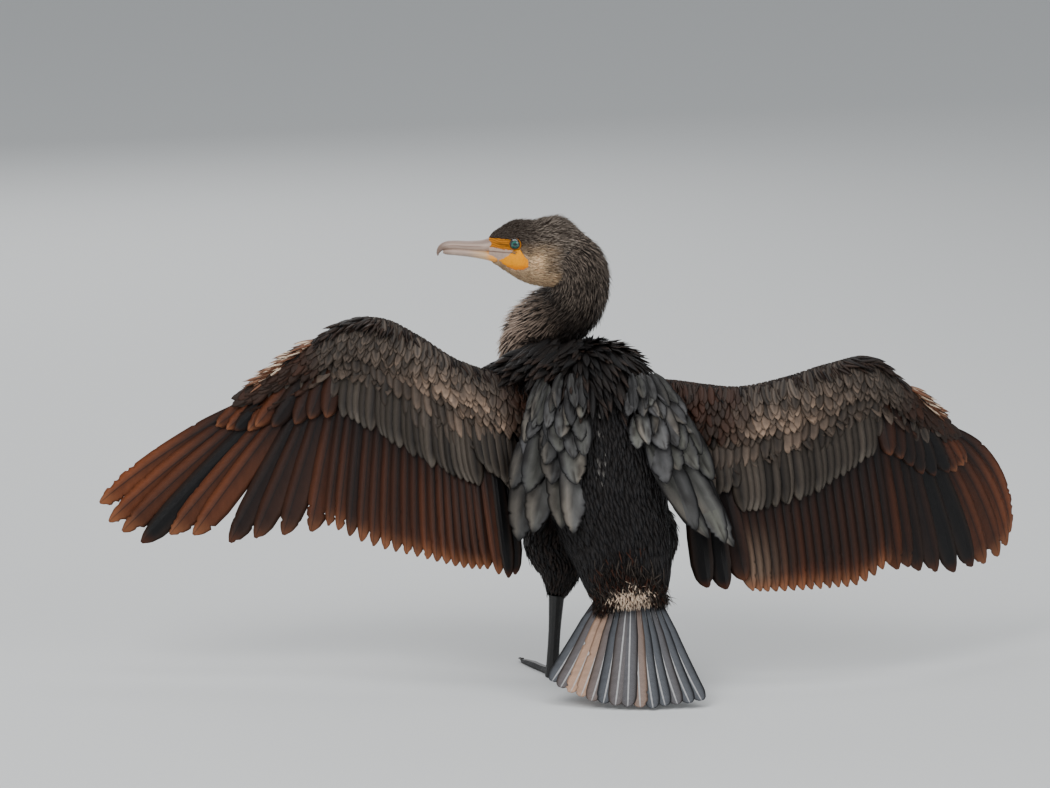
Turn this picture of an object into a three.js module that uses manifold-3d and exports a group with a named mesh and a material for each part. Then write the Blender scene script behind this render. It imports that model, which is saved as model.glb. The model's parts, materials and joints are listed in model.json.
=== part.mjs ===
// A life-size great cormorant in its first winter, standing with both wings spread to dry, its head turned to its left.
// Millimetres, +Z up. The bird looks along +Y, and its left is -X. The floor is z = 0, and the origin lies under the
// middle of the wingspan. The torso, neck, head, wings, tail and legs are closed faceted solids, and the feathers of
// the wings, tail and shoulders are thin vanes rooted in them.
import * as THREE from "three";
import { mergeVertices } from "three/addons/utils/BufferGeometryUtils.js";
import Module from "manifold-3d";

const wasm = await Module();
wasm.setup();

// Sizes that everything follows
const GAP = 0.3;
const WHOLE_BIRD_SHIFT = [0, 0, 0];
const VANE_THICKNESS = 0.7;
const SHAFT_HEIGHT = 1.1;
const COVERT_THICKNESS = 0.8;
const ROOT_SUNK = 9;

// Torso from the tail root up to the neck: centre, half width and half depth
const TORSO = [
  { at: [84, -84, 102], wide: 38, deep: 12 },
  { at: [80, -66, 120], wide: 50, deep: 30 },
  { at: [73, -38, 154], wide: 60, deep: 50 },
  { at: [59, -10, 200], wide: 70, deep: 64 },
  { at: [54, 14, 245], wide: 76, deep: 68 },
  { at: [50, 35, 288], wide: 77, deep: 65 },
  { at: [42, 54, 324], wide: 68, deep: 56 },
  { at: [32, 72, 348], wide: 54, deep: 44 },
  { at: [24, 86, 364], wide: 30, deep: 24 },
];

// Neck from inside the torso to the back of the head: centre and radius
const NECK = [
  { at: [4, 66, 316], radius: 46 },
  { at: [-22, 100, 342], radius: 44 },
  { at: [-25, 116, 370], radius: 39 },
  { at: [-4, 110, 397], radius: 36.5 },
  { at: [17, 96, 422], radius: 34.5 },
  { at: [25, 86, 447], radius: 33 },
  { at: [21, 80, 470], radius: 31.5 },
  { at: [4, 78, 487], radius: 27 },
];
const NECK_CUT = 3.2;
const NECK_TOP = 6.6;

// Head rings from the nape to the bill: x, top, bottom and half width
const HEAD_Y = 78;
const HEAD = [
  { x: 33, top: 501, bottom: 462, wide: 13 },
  { x: 24, top: 509, bottom: 452, wide: 20 },
  { x: 6, top: 520, bottom: 445, wide: 25.5 },
  { x: -12, top: 522, bottom: 444, wide: 26.5 },
  { x: -30, top: 518.5, bottom: 446, wide: 25.5 },
  { x: -47, top: 519, bottom: 453, wide: 23 },
  { x: -61, top: 516, bottom: 462, wide: 18.5 },
  { x: -73, top: 509, bottom: 470, wide: 13.5 },
  { x: -80, top: 503, bottom: 474, wide: 11 },
];

// Bill rings: centre x and z, half width and half height, from the face to the tip
const BILL_UPPER = [
  { x: -76, z: 493.0, wide: 10.2, high: 8.6 },
  { x: -88, z: 491.4, wide: 8.8, high: 6.8 },
  { x: -104, z: 491.4, wide: 7.4, high: 5.6 },
  { x: -118, z: 492.2, wide: 6.4, high: 5.2 },
  { x: -128, z: 492.0, wide: 5.6, high: 4.8 },
  { x: -135, z: 489.2, wide: 4.2, high: 3.9 },
  { x: -138.8, z: 483.8, wide: 2.2, high: 2.0 },
  { x: -139.2, z: 479.6, wide: 0.6, high: 0.6 },
];
const BILL_LOWER = [
  { x: -70, z: 478.6, wide: 10.6, high: 7.2 },
  { x: -84, z: 481, wide: 8.6, high: 6.0 },
  { x: -102, z: 483.2, wide: 6.8, high: 5.0 },
  { x: -118, z: 484.4, wide: 5.6, high: 4.4 },
  { x: -129, z: 484.6, wide: 4.4, high: 3.6 },
  { x: -133.2, z: 484.8, wide: 2.6, high: 2.4 },
];

const EYE = { x: -50, z: 496, radius: 7.0, inset: 4.4 };
const LID = { radius: 6.3, thick: 1.3 };
const GAPE = { from: [-34, 476.6], to: [-82, 486], wide: 1.4, deep: 1.6 };

// Each wing's flesh from the body to the hand's tip: leading edge, rear edge and thickness.
// Stations 3 and 6 are the elbow and the wrist.
const ELBOW = 3;
const WRIST = 6;
const WINGS = {
  left: {
    side: -1,
    stations: [
      { lead: [-2, 46, 342], rear: [8, 34, 262], thick: 30 },
      { lead: [-42, 46, 347], rear: [-30, 30, 250], thick: 26 },
      { lead: [-76, 36, 352], rear: [-59, 12, 262], thick: 23 },
      { lead: [-119, 28, 368], rear: [-95, 0, 287], thick: 20 },
      { lead: [-159, 32, 393], rear: [-136, 6, 320], thick: 17 },
      { lead: [-200, 42, 412], rear: [-186, 24, 350], thick: 15 },
      { lead: [-238, 48, 410], rear: [-241, 36, 372], thick: 15 },
      { lead: [-277, 46, 389], rear: [-268, 36, 357], thick: 12 },
      { lead: [-312, 40, 364], rear: [-301, 32, 338], thick: 9 },
      { lead: [-350, 31, 333], rear: [-343, 27, 321], thick: 5 },
    ],
    // From the wrist out and from the wrist in: swing from straight down towards +X, tip towards +Y, length, and how
    // far the middle bows outwards as a share of the length
    primaries: {
      swing: [-11.9, -18, -24.4, -29.2, -37.9, -42, -45.1, -49.5, -52.7, -57.7],
      reach: [-13, -11, -8, -4],
      length: [210, 216, 222, 230, 235, 240, 257, 251, 242, 224],
      bow: [0, 0, 0.01, 0.03],
    },
    secondaries: {
      swing: [-8.1, -4.7, -1.7, 1.4, 4.7, 8.1],
      reach: [-14, -15.5, -18, -21],
      length: [201, 208, 203, 194, 184, 168],
    },
    tertials: { swing: [9, 8, 6], reach: [-22, -24], length: [168, 162, 150] },
  },
  right: {
    side: 1,
    stations: [
      { lead: [84, 46, 342], rear: [80, 34, 262], thick: 30 },
      { lead: [131, 46, 340], rear: [122, 30, 250], thick: 26 },
      { lead: [168, 36, 337], rear: [152, 12, 251], thick: 23 },
      { lead: [209, 26, 336], rear: [190, 0, 260], thick: 20 },
      { lead: [260, 30, 346], rear: [246, 4, 280], thick: 17 },
      { lead: [310, 40, 360], rear: [301, 20, 303], thick: 15 },
      { lead: [356, 48, 366], rear: [355, 36, 328], thick: 15 },
      { lead: [396, 62, 337], rear: [387, 50, 311], thick: 12 },
      { lead: [423, 78, 310], rear: [412, 68, 291], thick: 9 },
      { lead: [447, 95, 283], rear: [439, 89, 273], thick: 5 },
    ],
    primaries: {
      swing: [10.2, 11.4, 12.5, 15.7, 19.5, 23.9, 26.5, 30, 32.6, 34.8],
      reach: [-6, 4, 17, 31],
      length: [211, 207, 208, 209, 213, 213, 216, 217, 213, 203],
      bow: [0, 0, 0.05, 0.13],
    },
    secondaries: {
      swing: [9.2, 8.4, 8.3, 8, 7.8, 9.3],
      reach: [-11, -13, -16, -19],
      length: [203, 209, 198, 186, 175, 164],
    },
    tertials: { swing: [12.6, 9.2, 6], reach: [-20, -22], length: [150, 156, 152] },
  },
};

const PRIMARY_COUNT = 10;
const SECONDARY_COUNT = 14;
const TERTIAL_COUNT = 3;
const GREATER_COUNT = 9;
const MEDIAN_COUNT = 6;
const HUMERAL_COUNT = 4;
const PRIMARY_WIDTH = 29;
const SECONDARY_WIDTH = 24;
const TILT = 0.15;

const TAIL = {
  count: 14,
  root: [85, -86, 102],
  pivotBehind: 78,
  swing: [-27, 20],
  length: [128, 141, 149, 152, 149],
  slope: [57, 26],
  width: 21,
  coreLength: 30,
};

// Legs: the foot's place on the floor and the bend of the leg above it
const LEGS = {
  left: { side: -1, hip: [16, 12, 206], knee: [-6, 8, 164], shin: [2, 0, 127], ankle: [-2, -8, 98], foot: [-7, 2, 0] },
  right: { side: 1, hip: [96, 12, 206], knee: [104, 8, 164], shin: [98, 0, 127], ankle: [97, -8, 98], foot: [94, 2, 0] },
};
const THIGH_RADII = [22, 35, 27, 12.5];
const TARSUS = { wide: 7.0, deep: 8.2 };
const TOES = [
  { name: "hallux", turn: 96, length: 30, radius: 3.4 },
  { name: "inner", turn: 36, length: 50, radius: 4.0 },
  { name: "middle", turn: 4, length: 72, radius: 4.2 },
  { name: "outer", turn: -24, length: 84, radius: 4.2 },
];
const CLAW = { length: 12, radius: 2.6 };
const WEB = { low: 1.2, high: 2.6 };

// Small helpers on numbers, points and curves
const V = (x, y, z) => new THREE.Vector3(x, y, z);
const vec = (list) => V(list[0], list[1], list[2]);
const radians = THREE.MathUtils.degToRad;
const mix = THREE.MathUtils.lerp;

// The value at t along a smooth curve through evenly numbered values
function through(values, t) {
  const last = values.length - 1;
  const at = Math.min(Math.max(t, 0), last);
  const i = Math.min(Math.floor(at), last - 1);
  const f = at - i;
  const b = values[i];
  const c = values[i + 1];
  const a = i > 0 ? values[i - 1] : 2 * b - c;
  const d = i + 2 <= last ? values[i + 2] : 2 * c - b;
  return b + 0.5 * f * (c - a + f * (2 * a - 5 * b + 4 * c - d + f * (3 * (b - c) + d - a)));
}

const pointThrough = (points, t) => V(...[0, 1, 2].map((k) => through(points.map((p) => p[k]), t)));

// The value at a share from 0 to 1 along a list of evenly spaced values
const share = (values, s) => through(values, s * (values.length - 1));

// A closed solid from a list of vertices and a list of triangles
function solidFrom(points, triangles) {
  const geometry = new THREE.BufferGeometry();
  const positions = new Float32Array(points.flatMap((p) => [p.x, p.y, p.z]));
  geometry.setAttribute("position", new THREE.BufferAttribute(positions, 3));
  geometry.setIndex(triangles.flat());
  return solidOf(geometry);
}

function solidOf(geometry) {
  const bare = geometry.clone();
  bare.deleteAttribute("normal");
  bare.deleteAttribute("uv");
  const merged = mergeVertices(bare, 1e-4);
  const made = new wasm.Manifold(
    new wasm.Mesh({
      numProp: 3,
      vertProperties: merged.attributes.position.array,
      triVerts: new Uint32Array(merged.index.array),
    }),
  );
  return made;
}

// A closed solid through rings of equal count, closed at each end by a fan round its middle, or from its first corner
function loft(rings) {
  const count = rings[0].length;
  const points = rings.flat();
  const triangles = [];
  for (let r = 0; r + 1 < rings.length; r++)
    for (let k = 0; k < count; k++) {
      const next = (k + 1) % count;
      const a = r * count + k;
      const b = r * count + next;
      triangles.push([a, b, b + count], [a, b + count, a + count]);
    }
  for (const end of [0, rings.length - 1]) {
    const few = count <= 6;
    const centre = rings[end].reduce((sum, p) => sum.add(p), V(0, 0, 0)).divideScalar(count);
    const hub = few ? end * count : points.push(centre) - 1;
    for (let k = few ? 1 : 0; k < (few ? count - 1 : count); k++) {
      const a = end * count + k;
      const b = end * count + ((k + 1) % count);
      triangles.push(end === 0 ? [b, a, hub] : [a, b, hub]);
    }
  }
  const made = solidFrom(points, triangles);
  return made.volume() < 0 ? solidFrom(points, triangles.map(([a, b, c]) => [a, c, b])) : made;
}

// A ring of points round a centre in the plane of two directions, with a half size along each
function ringOf(centre, right, up, wide, high, count) {
  return Array.from({ length: count }, (_, k) => {
    const turn = (2 * Math.PI * k) / count;
    return centre
      .clone()
      .addScaledVector(right, wide * Math.cos(turn))
      .addScaledVector(up, high * Math.sin(turn));
  });
}

// A tube through stations of centre, half width and half depth. The width lies as near to hint as it can.
function tube({ at, wide, deep, hint, from = 0, to = at.length - 1, steps, sides, grow = 0 }) {
  const rings = [];
  for (let i = 0; i <= steps; i++) {
    const t = mix(from, to, i / steps);
    const centre = pointThrough(at, t);
    const step = 0.05;
    const ahead = pointThrough(at, Math.min(t + step, at.length - 1));
    const tangent = ahead.sub(pointThrough(at, Math.max(t - step, 0))).normalize();
    const right = hint.clone().addScaledVector(tangent, -hint.dot(tangent)).normalize();
    const up = tangent.clone().cross(right);
    rings.push(ringOf(centre, right, up, through(wide, t) + grow, through(deep, t) + grow, sides));
  }
  return loft(rings);
}

const join = (solids) => wasm.Manifold.union(solids);

// A thin feather vane. It grows from root along a direction, its upper face towards up, and its outer half to the side
// of the cross direction. lift gives its height over the straight line at shares of its length.
function vane({
  root,
  along,
  up,
  length,
  width,
  outer = 0.4,
  lift = [0, 0],
  bow = 0,
  tilt = 0,
  side = 1,
  tip = "round",
  stations = [0, 0.14, 0.34, 0.62, 0.84, 0.95, 1],
  thick = VANE_THICKNESS,
  shaft = 0,
  floor = null,
  path = null,
}) {
  const across = along.clone().cross(up).normalize().multiplyScalar(side);
  const normal = up.clone().addScaledVector(along, -up.dot(along)).normalize();
  const widthAt = {
    round: [0.2, 0.62, 0.92, 1, 0.98, 0.78, 0.34],
    point: [0.2, 0.62, 0.92, 1, 0.86, 0.56, 0.14],
  }[tip];
  const shares = [0, 0.14, 0.34, 0.62, 0.84, 0.95, 1];
  const rings = stations.map((s) => {
    const k = shares.findIndex((x) => x >= s - 1e-9);
    const before = Math.max(k - 1, 0);
    const span = shares[k] - shares[before] || 1;
    const full = mix(widthAt[before], widthAt[k], (s - shares[before]) / span) * width;
    const centre = path
      ? path(s)
      : root
          .clone()
          .addScaledVector(along, s * length)
          .addScaledVector(normal, share(lift, s))
          .addScaledVector(across, bow * length * 4 * s * (1 - s));
    const place = (x, z) => {
      const p = centre
        .clone()
        .addScaledVector(across, x)
        .addScaledVector(normal, z + tilt * x);
      if (floor !== null) p.z = Math.max(p.z, floor + (z > 0 ? thick : 0));
      return p;
    };
    const out = full * outer;
    const inn = -full * (1 - outer);
    const edge = thick / 2;
    if (!shaft) return [place(out, edge), place(inn, edge), place(inn, -edge), place(out, -edge)];
    const mid = mix(shaft, edge + 0.1, s);
    return [place(out, edge), place(0, mid), place(inn, edge), place(inn, -edge), place(out, -edge)];
  });
  return loft(rings);
}

// The direction that hangs straight down, swung towards +X and reached towards +Y, in degrees
function hanging(swing, reach) {
  const a = radians(swing);
  const b = radians(reach);
  return V(Math.sin(a) * Math.cos(b), Math.sin(b), -Math.cos(a) * Math.cos(b));
}

const torsoTube = (grow, sides = 20, steps = 11) =>
  tube({
    at: TORSO.map((s) => s.at),
    wide: TORSO.map((s) => s.wide),
    deep: TORSO.map((s) => s.deep),
    hint: V(1, 0, 0),
    steps,
    sides,
    grow,
  });

// Shoulder feathers hang over each side of the back, on a sheet between an outer and an inner line, from the top down
const SCAPULARS = {
  left: {
    outer: [[-30, 12, 350], [-42, -8, 300], [-50, -28, 240], [-56, -50, 168]],
    inner: [[38, 0, 358], [34, -34, 310], [28, -62, 255], [14, -76, 180]],
  },
  right: {
    outer: [[118, 16, 351], [144, 2, 315], [172, -20, 255], [209, -50, 174]],
    inner: [[74, 2, 354], [86, -34, 304], [108, -58, 250], [160, -60, 170]],
  },
};
const SCAPULAR_ROWS = [[0.0, 0.42], [0.22, 0.7], [0.42, 1.0]];
const SCAPULAR_COLUMNS = [0.05, 0.5, 0.95];
const SCAPULAR_WIDTH = 30;
const SCAPULAR_DEPTH = 27;
const SCAPULAR_HUB = 0.9;

function scapulars({ outer, inner }, grow = 0) {
  const made = [];
  const last = outer.length - 1;
  const sheet = (column, s) => pointThrough(outer, s * last).lerp(pointThrough(inner, s * last), column);
  SCAPULAR_ROWS.forEach(([from, to], row) => {
    SCAPULAR_COLUMNS.forEach((column) => {
      const rise = 4.5 - 2 * row;
      const path = (s) => {
        const place = sheet(mix(column, SCAPULAR_HUB, 0.75 * Math.max(0, 1 - 1.6 * s)), mix(from, to, s));
        return place.add(V(0, SCAPULAR_DEPTH * Math.max(0, 1 - 2.6 * s) - rise, 0));
      };
      const along = path(1).sub(path(0.34)).normalize();
      made.push(
        vane({ root: path(0), along, up: V(0, -1, 0.3), length: 1, width: SCAPULAR_WIDTH + 2 * grow, outer: 0.5, path,
          stations: [0, 0.34, 0.84, 1], thick: 0.9 + 2 * grow, tilt: 0.04 }),
      );
    });
  });
  return made;
}

// Wing flesh: a flat rounded section between the leading and the rear edge
function wingSection(wing, t, sides, grow) {
  const lead = pointThrough(wing.stations.map((s) => s.lead), t);
  const rear = pointThrough(wing.stations.map((s) => s.rear), t);
  const thick = through(wing.stations.map((s) => s.thick), t);
  const up = wingUp(wing, t);
  const chord = rear.clone().sub(lead);
  const half = chord.length() / 2;
  const centre = lead.add(rear).divideScalar(2);
  return ringOf(centre, chord.normalize(), up, half + grow, thick / 2 + grow, sides);
}

// The way the wing's upper face looks at t, which is back towards the tail side
function wingUp(wing, t) {
  const middle = (x) =>
    pointThrough(wing.stations.map((s) => s.lead), x).add(pointThrough(wing.stations.map((s) => s.rear), x));
  const last = wing.stations.length - 1;
  const span = middle(Math.min(t + 0.2, last)).sub(middle(Math.max(t - 0.2, 0)));
  const chord = pointThrough(wing.stations.map((s) => s.rear), t).sub(
    pointThrough(wing.stations.map((s) => s.lead), t),
  );
  const up = span.cross(chord).normalize();
  return up.y > 0 ? up.negate() : up;
}

function wingFlesh(wing, from, to, grow = 0) {
  const steps = Math.ceil((to - from) * 1.4);
  const rings = [];
  for (let i = 0; i <= steps; i++) rings.push(wingSection(wing, mix(from, to, i / steps), 10, grow));
  return loft(rings);
}

// A point on the wing at t and a share of the chord, raised over its middle plane
function onWing(wing, t, chordShare, height) {
  const lead = pointThrough(wing.stations.map((s) => s.lead), t);
  const rear = pointThrough(wing.stations.map((s) => s.rear), t);
  return lead.lerp(rear, chordShare).addScaledVector(wingUp(wing, t), height);
}

const halfThick = (wing, t) => through(wing.stations.map((s) => s.thick), t) / 2;

// One row of flight feathers with their roots along the rear edge from t = from to t = to
function flightRow(wing, { from, to, count, row, width, tip, bend, grow = 0 }) {
  return Array.from({ length: count }, (_, i) => {
    const s = count > 1 ? i / (count - 1) : 0;
    const t = mix(from, to, s);
    const along = hanging(share(row.swing, s), share(row.reach, s));
    const up = wingUp(wing, t);
    const root = onWing(wing, t, 0.97, 0).addScaledVector(along, -ROOT_SUNK);
    const length = share(row.length, s) + ROOT_SUNK;
    return vane({ root, along, up, length, width: width + 2 * grow, thick: VANE_THICKNESS + 2 * grow, outer: 0.36,
      lift: [0, 0, -bend * 0.3, -bend], bow: share(row.bow ?? [0, 0], s), tilt: TILT, tip,
      side: outerSide(wing, along, up), shaft: SHAFT_HEIGHT + grow,
      stations: row.bow && s > 0.5 ? [0, 0.34, 0.62, 0.84, 1] : [0, 0.34, 0.84, 1] });
  });
}

// +1 or -1, so that a vane's outer half lies away from the body
function outerSide(wing, along, up) {
  const across = along.clone().cross(up);
  return Math.sign(across.x * wing.side - across.z * 0.3);
}

// One row of coverts over the flight feathers. It springs from the upper face and comes down near the row below.
function covertRow(wing, { from, to, count, row, rowFrom, rowTo, chord, length, width, height, turn = 0, grow = 0 }) {
  return Array.from({ length: count }, (_, i) => {
    const s = count > 1 ? i / (count - 1) : 0;
    const t = mix(from, to, s);
    const r = mix(rowFrom, rowTo, s);
    const along = hanging(share(row.swing, r) + turn, share(row.reach, r));
    const up = wingUp(wing, t);
    const c = share(chord, s);
    const skin = halfThick(wing, t) * Math.sqrt(Math.max(0, 1 - (2 * c - 1) ** 2));
    const rootHeight = skin - 2.2;
    const root = onWing(wing, t, c, rootHeight);
    const full = share(length, s);
    const normal = up.clone().addScaledVector(along, -up.dot(along)).normalize();
    const tipHeight = heightOver(wing, t, root, along, full, normal, height);
    return vane({ root, along, up, length: full, width: share(width, s) + 2 * grow, outer: 0.45,
      lift: [0, tipHeight * 0.42 + 0.8, tipHeight * 0.8 + 0.6, tipHeight], tilt: TILT,
      thick: COVERT_THICKNESS + 2 * grow, side: outerSide(wing, along, up), tip: "round", stations: [0, 0.34, 0.84, 1] });
  });
}

// How far a covert's tip must rise or fall along its normal to end a given height over the flight feathers' plane
function heightOver(wing, t, root, along, length, normal, height) {
  const rear = onWing(wing, t, 0.97, 0);
  const tip = root.clone().addScaledVector(along, length);
  return height - tip.sub(rear).dot(normal);
}

// The wing in three lengths that meet at the elbow and the wrist
const SEAM = 0.012;

function forearmPart(wing, grow = 0) {
  const flesh = wingFlesh(wing, ELBOW + SEAM, WRIST - SEAM, grow);
  const row = wing.secondaries;
  const secondaries = flightRow(wing, { from: WRIST - 0.05, to: ELBOW + 0.16, count: SECONDARY_COUNT, row,
    width: SECONDARY_WIDTH, tip: "point", bend: 7, grow });
  const greater = covertRow(wing, { from: WRIST - 0.16, to: ELBOW + 0.18, count: GREATER_COUNT, row, rowFrom: 0,
    rowTo: 1, chord: [0.72, 0.74], length: [78, 92, 96, 92], width: [29, 30], height: 3.6, grow });
  const median = covertRow(wing, { from: WRIST - 0.2, to: ELBOW + 0.24, count: MEDIAN_COUNT, row, rowFrom: 0,
    rowTo: 1, chord: [0.5, 0.44], length: [62, 66, 78, 92], width: [38, 39], height: 7, grow });
  return join([flesh, ...secondaries, ...greater, ...median]);
}

function armPart(wing) {
  const flesh = wingFlesh(wing, 0, ELBOW - SEAM);
  const row = wing.tertials;
  const tertials = flightRow(wing, { from: ELBOW - 0.15, to: 2.1, count: TERTIAL_COUNT, row, width: 27,
    tip: "round", bend: 4 });
  const humerals = covertRow(wing, { from: ELBOW - 0.35, to: 1.85, count: HUMERAL_COUNT, row, rowFrom: 0, rowTo: 1,
    chord: [0.72, 0.7], length: [70, 78], width: [27, 29], height: 7 });
  return join([flesh, ...tertials, ...humerals]);
}

function handPart(wing) {
  const last = wing.stations.length - 1;
  const flesh = wingFlesh(wing, WRIST + SEAM, last);
  const row = wing.primaries;
  const primaries = flightRow(wing, { from: WRIST + 0.1, to: last - 0.04, count: PRIMARY_COUNT, row,
    width: PRIMARY_WIDTH, tip: "round", bend: 10 });
  const coverts = covertRow(wing, { from: WRIST + 0.22, to: last - 0.3, count: PRIMARY_COUNT - 4, row, rowFrom: 0.03,
    rowTo: 0.96, chord: [0.7, 0.6], length: [80, 92, 96, 74], width: [28, 23], height: 3.6 });
  const alula = covertRow(wing, { from: WRIST + 0.35, to: WRIST + 1.1, count: 2, row, rowFrom: 0.45, rowTo: 0.75,
    chord: [0.5, 0.3], length: [56, 72], width: [22, 18], height: 8 });
  return join([flesh, ...primaries, ...coverts, ...alula]);
}

// Tail: a fan of stiff feathers that bends down and back until its tips lie on the floor
function tailSheet(q) {
  const [steep, flat] = TAIL.slope.map(radians);
  const reachOfBend = 150;
  const steps = 12;
  let y = TAIL.root[1];
  let z = TAIL.root[2];
  for (let i = 0; i < steps; i++) {
    const slope = mix(steep, flat, Math.min(1, Math.max(0, (q * (i + 0.5)) / steps / reachOfBend)));
    y -= (Math.cos(slope) * q) / steps;
    z -= (Math.sin(slope) * q) / steps;
  }
  return [y, z];
}

function tailParts() {
  const pieces = [];
  const middle = (TAIL.count - 1) / 2;
  const fan = (i, near, far, height) => (s) => {
    const angle = radians(mix(TAIL.swing[0], TAIL.swing[1], i / (TAIL.count - 1)));
    const reach = TAIL.pivotBehind + mix(near, far, s);
    const [y, z] = tailSheet(reach * Math.cos(angle) - TAIL.pivotBehind);
    const slope = radians(TAIL.slope[0]);
    return V(TAIL.root[0] + reach * Math.sin(angle), y - height * Math.sin(slope), z + height * Math.cos(slope));
  };
  for (let i = 0; i < TAIL.count; i++) {
    const length = share(TAIL.length, i / (TAIL.count - 1));
    const height = -0.45 * Math.abs(i - middle);
    const path = fan(i, -12, length, height);
    const side = i < middle ? 1 : -1;
    const along = path(1).sub(path(0)).normalize();
    const up = V(0, -Math.sin(radians(TAIL.slope[0])), Math.cos(radians(TAIL.slope[0])));
    pieces.push(
      vane({ root: path(0), along, up, length, width: TAIL.width, outer: 0.5, tilt: -0.06, side, path, floor: 0,
        tip: "round", shaft: 1.3, thick: 0.9, stations: [0, 0.34, 0.84, 1] }),
    );
  }
  const coverts = 6;
  for (let k = 0; k < coverts; k++) {
    const i = mix(0.6, TAIL.count - 1.6, k / (coverts - 1));
    const path = fan(i, -14, 34, 3.4);
    const lifted = (s) => path(s).add(V(0, -2.5 * s, 1.6 * s));
    const along = lifted(1).sub(lifted(0)).normalize();
    pieces.push(
      vane({ root: lifted(0), along, up: V(0, -0.84, 0.55), length: 48, width: 22, outer: 0.5, path: lifted,
        tip: "round", thick: COVERT_THICKNESS, stations: [0, 0.34, 0.84, 1], tilt: 0.02, side: 1 }),
    );
  }
  const [coreY, coreZ] = tailSheet(TAIL.coreLength * 0.55);
  const start = TORSO[1].at;
  const core = tube({
    at: [[start[0], start[1], start[2]], TAIL.root, [TAIL.root[0] - 1, coreY, coreZ]],
    wide: [36, 33, 25],
    deep: [22, 12, 4],
    hint: V(1, 0, 0),
    steps: 4,
    sides: 14,
  });
  return join([core, ...pieces]);
}

// Neck and head
function neckTube(from, to, grow = 0) {
  const radii = NECK.map((s) => s.radius);
  return tube({ at: NECK.map((s) => s.at), wide: radii, deep: radii, hint: V(0, 1, 0), from, to,
    steps: Math.ceil((to - from) * 1.8), sides: 18, grow });
}

function headBody(grow = 0) {
  const rings = [];
  const steps = 11;
  const list = (key) => HEAD.map((s) => s[key]);
  for (let i = 0; i <= steps; i++) {
    const t = (i / steps) * (HEAD.length - 1);
    const top = through(list("top"), t) + grow;
    const bottom = through(list("bottom"), t) - grow;
    const wide = through(list("wide"), t) + grow;
    const centre = V(through(list("x"), t), HEAD_Y, (top + bottom) / 2);
    rings.push(ringOf(centre, V(0, 1, 0), V(0, 0, 1), wide, (top - bottom) / 2, 18));
  }
  return loft(rings);
}

function billTube(stations, grow = 0) {
  return tube({
    at: stations.map((s) => [s.x, HEAD_Y, s.z]),
    wide: stations.map((s) => s.wide),
    deep: stations.map((s) => s.high),
    hint: V(0, 1, 0),
    steps: Math.ceil((stations.length - 1) * 1.6),
    sides: 12,
    grow,
  });
}

function ball(centre, radius) {
  const sphere = new THREE.SphereGeometry(radius, 12, 8);
  return solidOf(sphere.translate(centre.x, centre.y, centre.z));
}

// The mouth's line runs back from the bill along each cheek to the gape
function gapeGroove(side) {
  const [x0, z0] = GAPE.from;
  const [x1, z1] = GAPE.to;
  const steps = 6;
  const rings = [];
  for (let i = 0; i <= steps; i++) {
    const x = mix(x0, x1, i / steps);
    const z = mix(z0, z1, i / steps) - 2 * Math.sin((Math.PI * i) / steps) * 0.6;
    const skin = HEAD_Y + side * headHalfWidth(headShare(x), z);
    rings.push(ringOf(V(x, skin, z), V(0, 1, 0), V(0, 0, 1), GAPE.deep, GAPE.wide / 2, 6));
  }
  return loft(rings);
}

// The station number at which the head's ring has this x
function headShare(x) {
  const xs = HEAD.map((s) => s.x);
  const i = Math.max(0, Math.min(xs.length - 2, xs.findIndex((v) => v < x) - 1));
  return i + (xs[i] - x) / (xs[i] - xs[i + 1]);
}

function headHalfWidth(t, z) {
  const top = through(HEAD.map((s) => s.top), t);
  const bottom = through(HEAD.map((s) => s.bottom), t);
  const wide = through(HEAD.map((s) => s.wide), t);
  const rise = (2 * z - top - bottom) / (top - bottom);
  return wide * Math.sqrt(Math.max(0, 1 - rise * rise));
}

function headParts() {
  const bill = [billTube(BILL_UPPER, GAP), billTube(BILL_LOWER, GAP)];
  let head = headBody();
  const eyes = {};
  for (const [name, side] of [["left", -1], ["right", 1]]) {
    const t = headShare(EYE.x);
    const skin = headHalfWidth(t, EYE.z);
    const centre = V(EYE.x, HEAD_Y + side * (skin - EYE.inset), EYE.z);
    const lid = new THREE.TorusGeometry(LID.radius, LID.thick, 5, 14);
    lid.rotateX(Math.PI / 2);
    lid.translate(EYE.x, HEAD_Y + side * (skin - 0.4), EYE.z);
    head = head.add(solidOf(lid)).subtract(ball(centre, EYE.radius + GAP)).subtract(gapeGroove(side));
    eyes[name] = ball(centre, EYE.radius);
  }
  head = join([head]).subtract(bill[0]).subtract(bill[1]);
  return { head, eyes };
}

// Legs
function thigh({ hip, knee, shin, ankle }, grow = 0) {
  return tube({ at: [hip, knee, shin, ankle], wide: THIGH_RADII, deep: THIGH_RADII, hint: V(1, 0, 0), steps: 6,
    sides: 12, grow });
}

const FOOT_TOP = 9;

function tarsus({ ankle, foot }, grow = 0) {
  const top = vec(ankle);
  const bottom = vec(foot).add(V(0, -4, FOOT_TOP));
  const middle = top.clone().lerp(bottom, 0.5);
  const stations = [top, middle, bottom].map((p) => [p.x, p.y, p.z]);
  return tube({ at: stations, wide: [9.2, TARSUS.wide, 7.4], deep: [10, TARSUS.deep, 9], hint: V(1, 0, 0), steps: 6,
    sides: 12, grow });
}

const toeDirection = (side, turn) => {
  const a = radians(turn) * -side;
  return V(Math.sin(a), Math.cos(a), 0);
};

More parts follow.
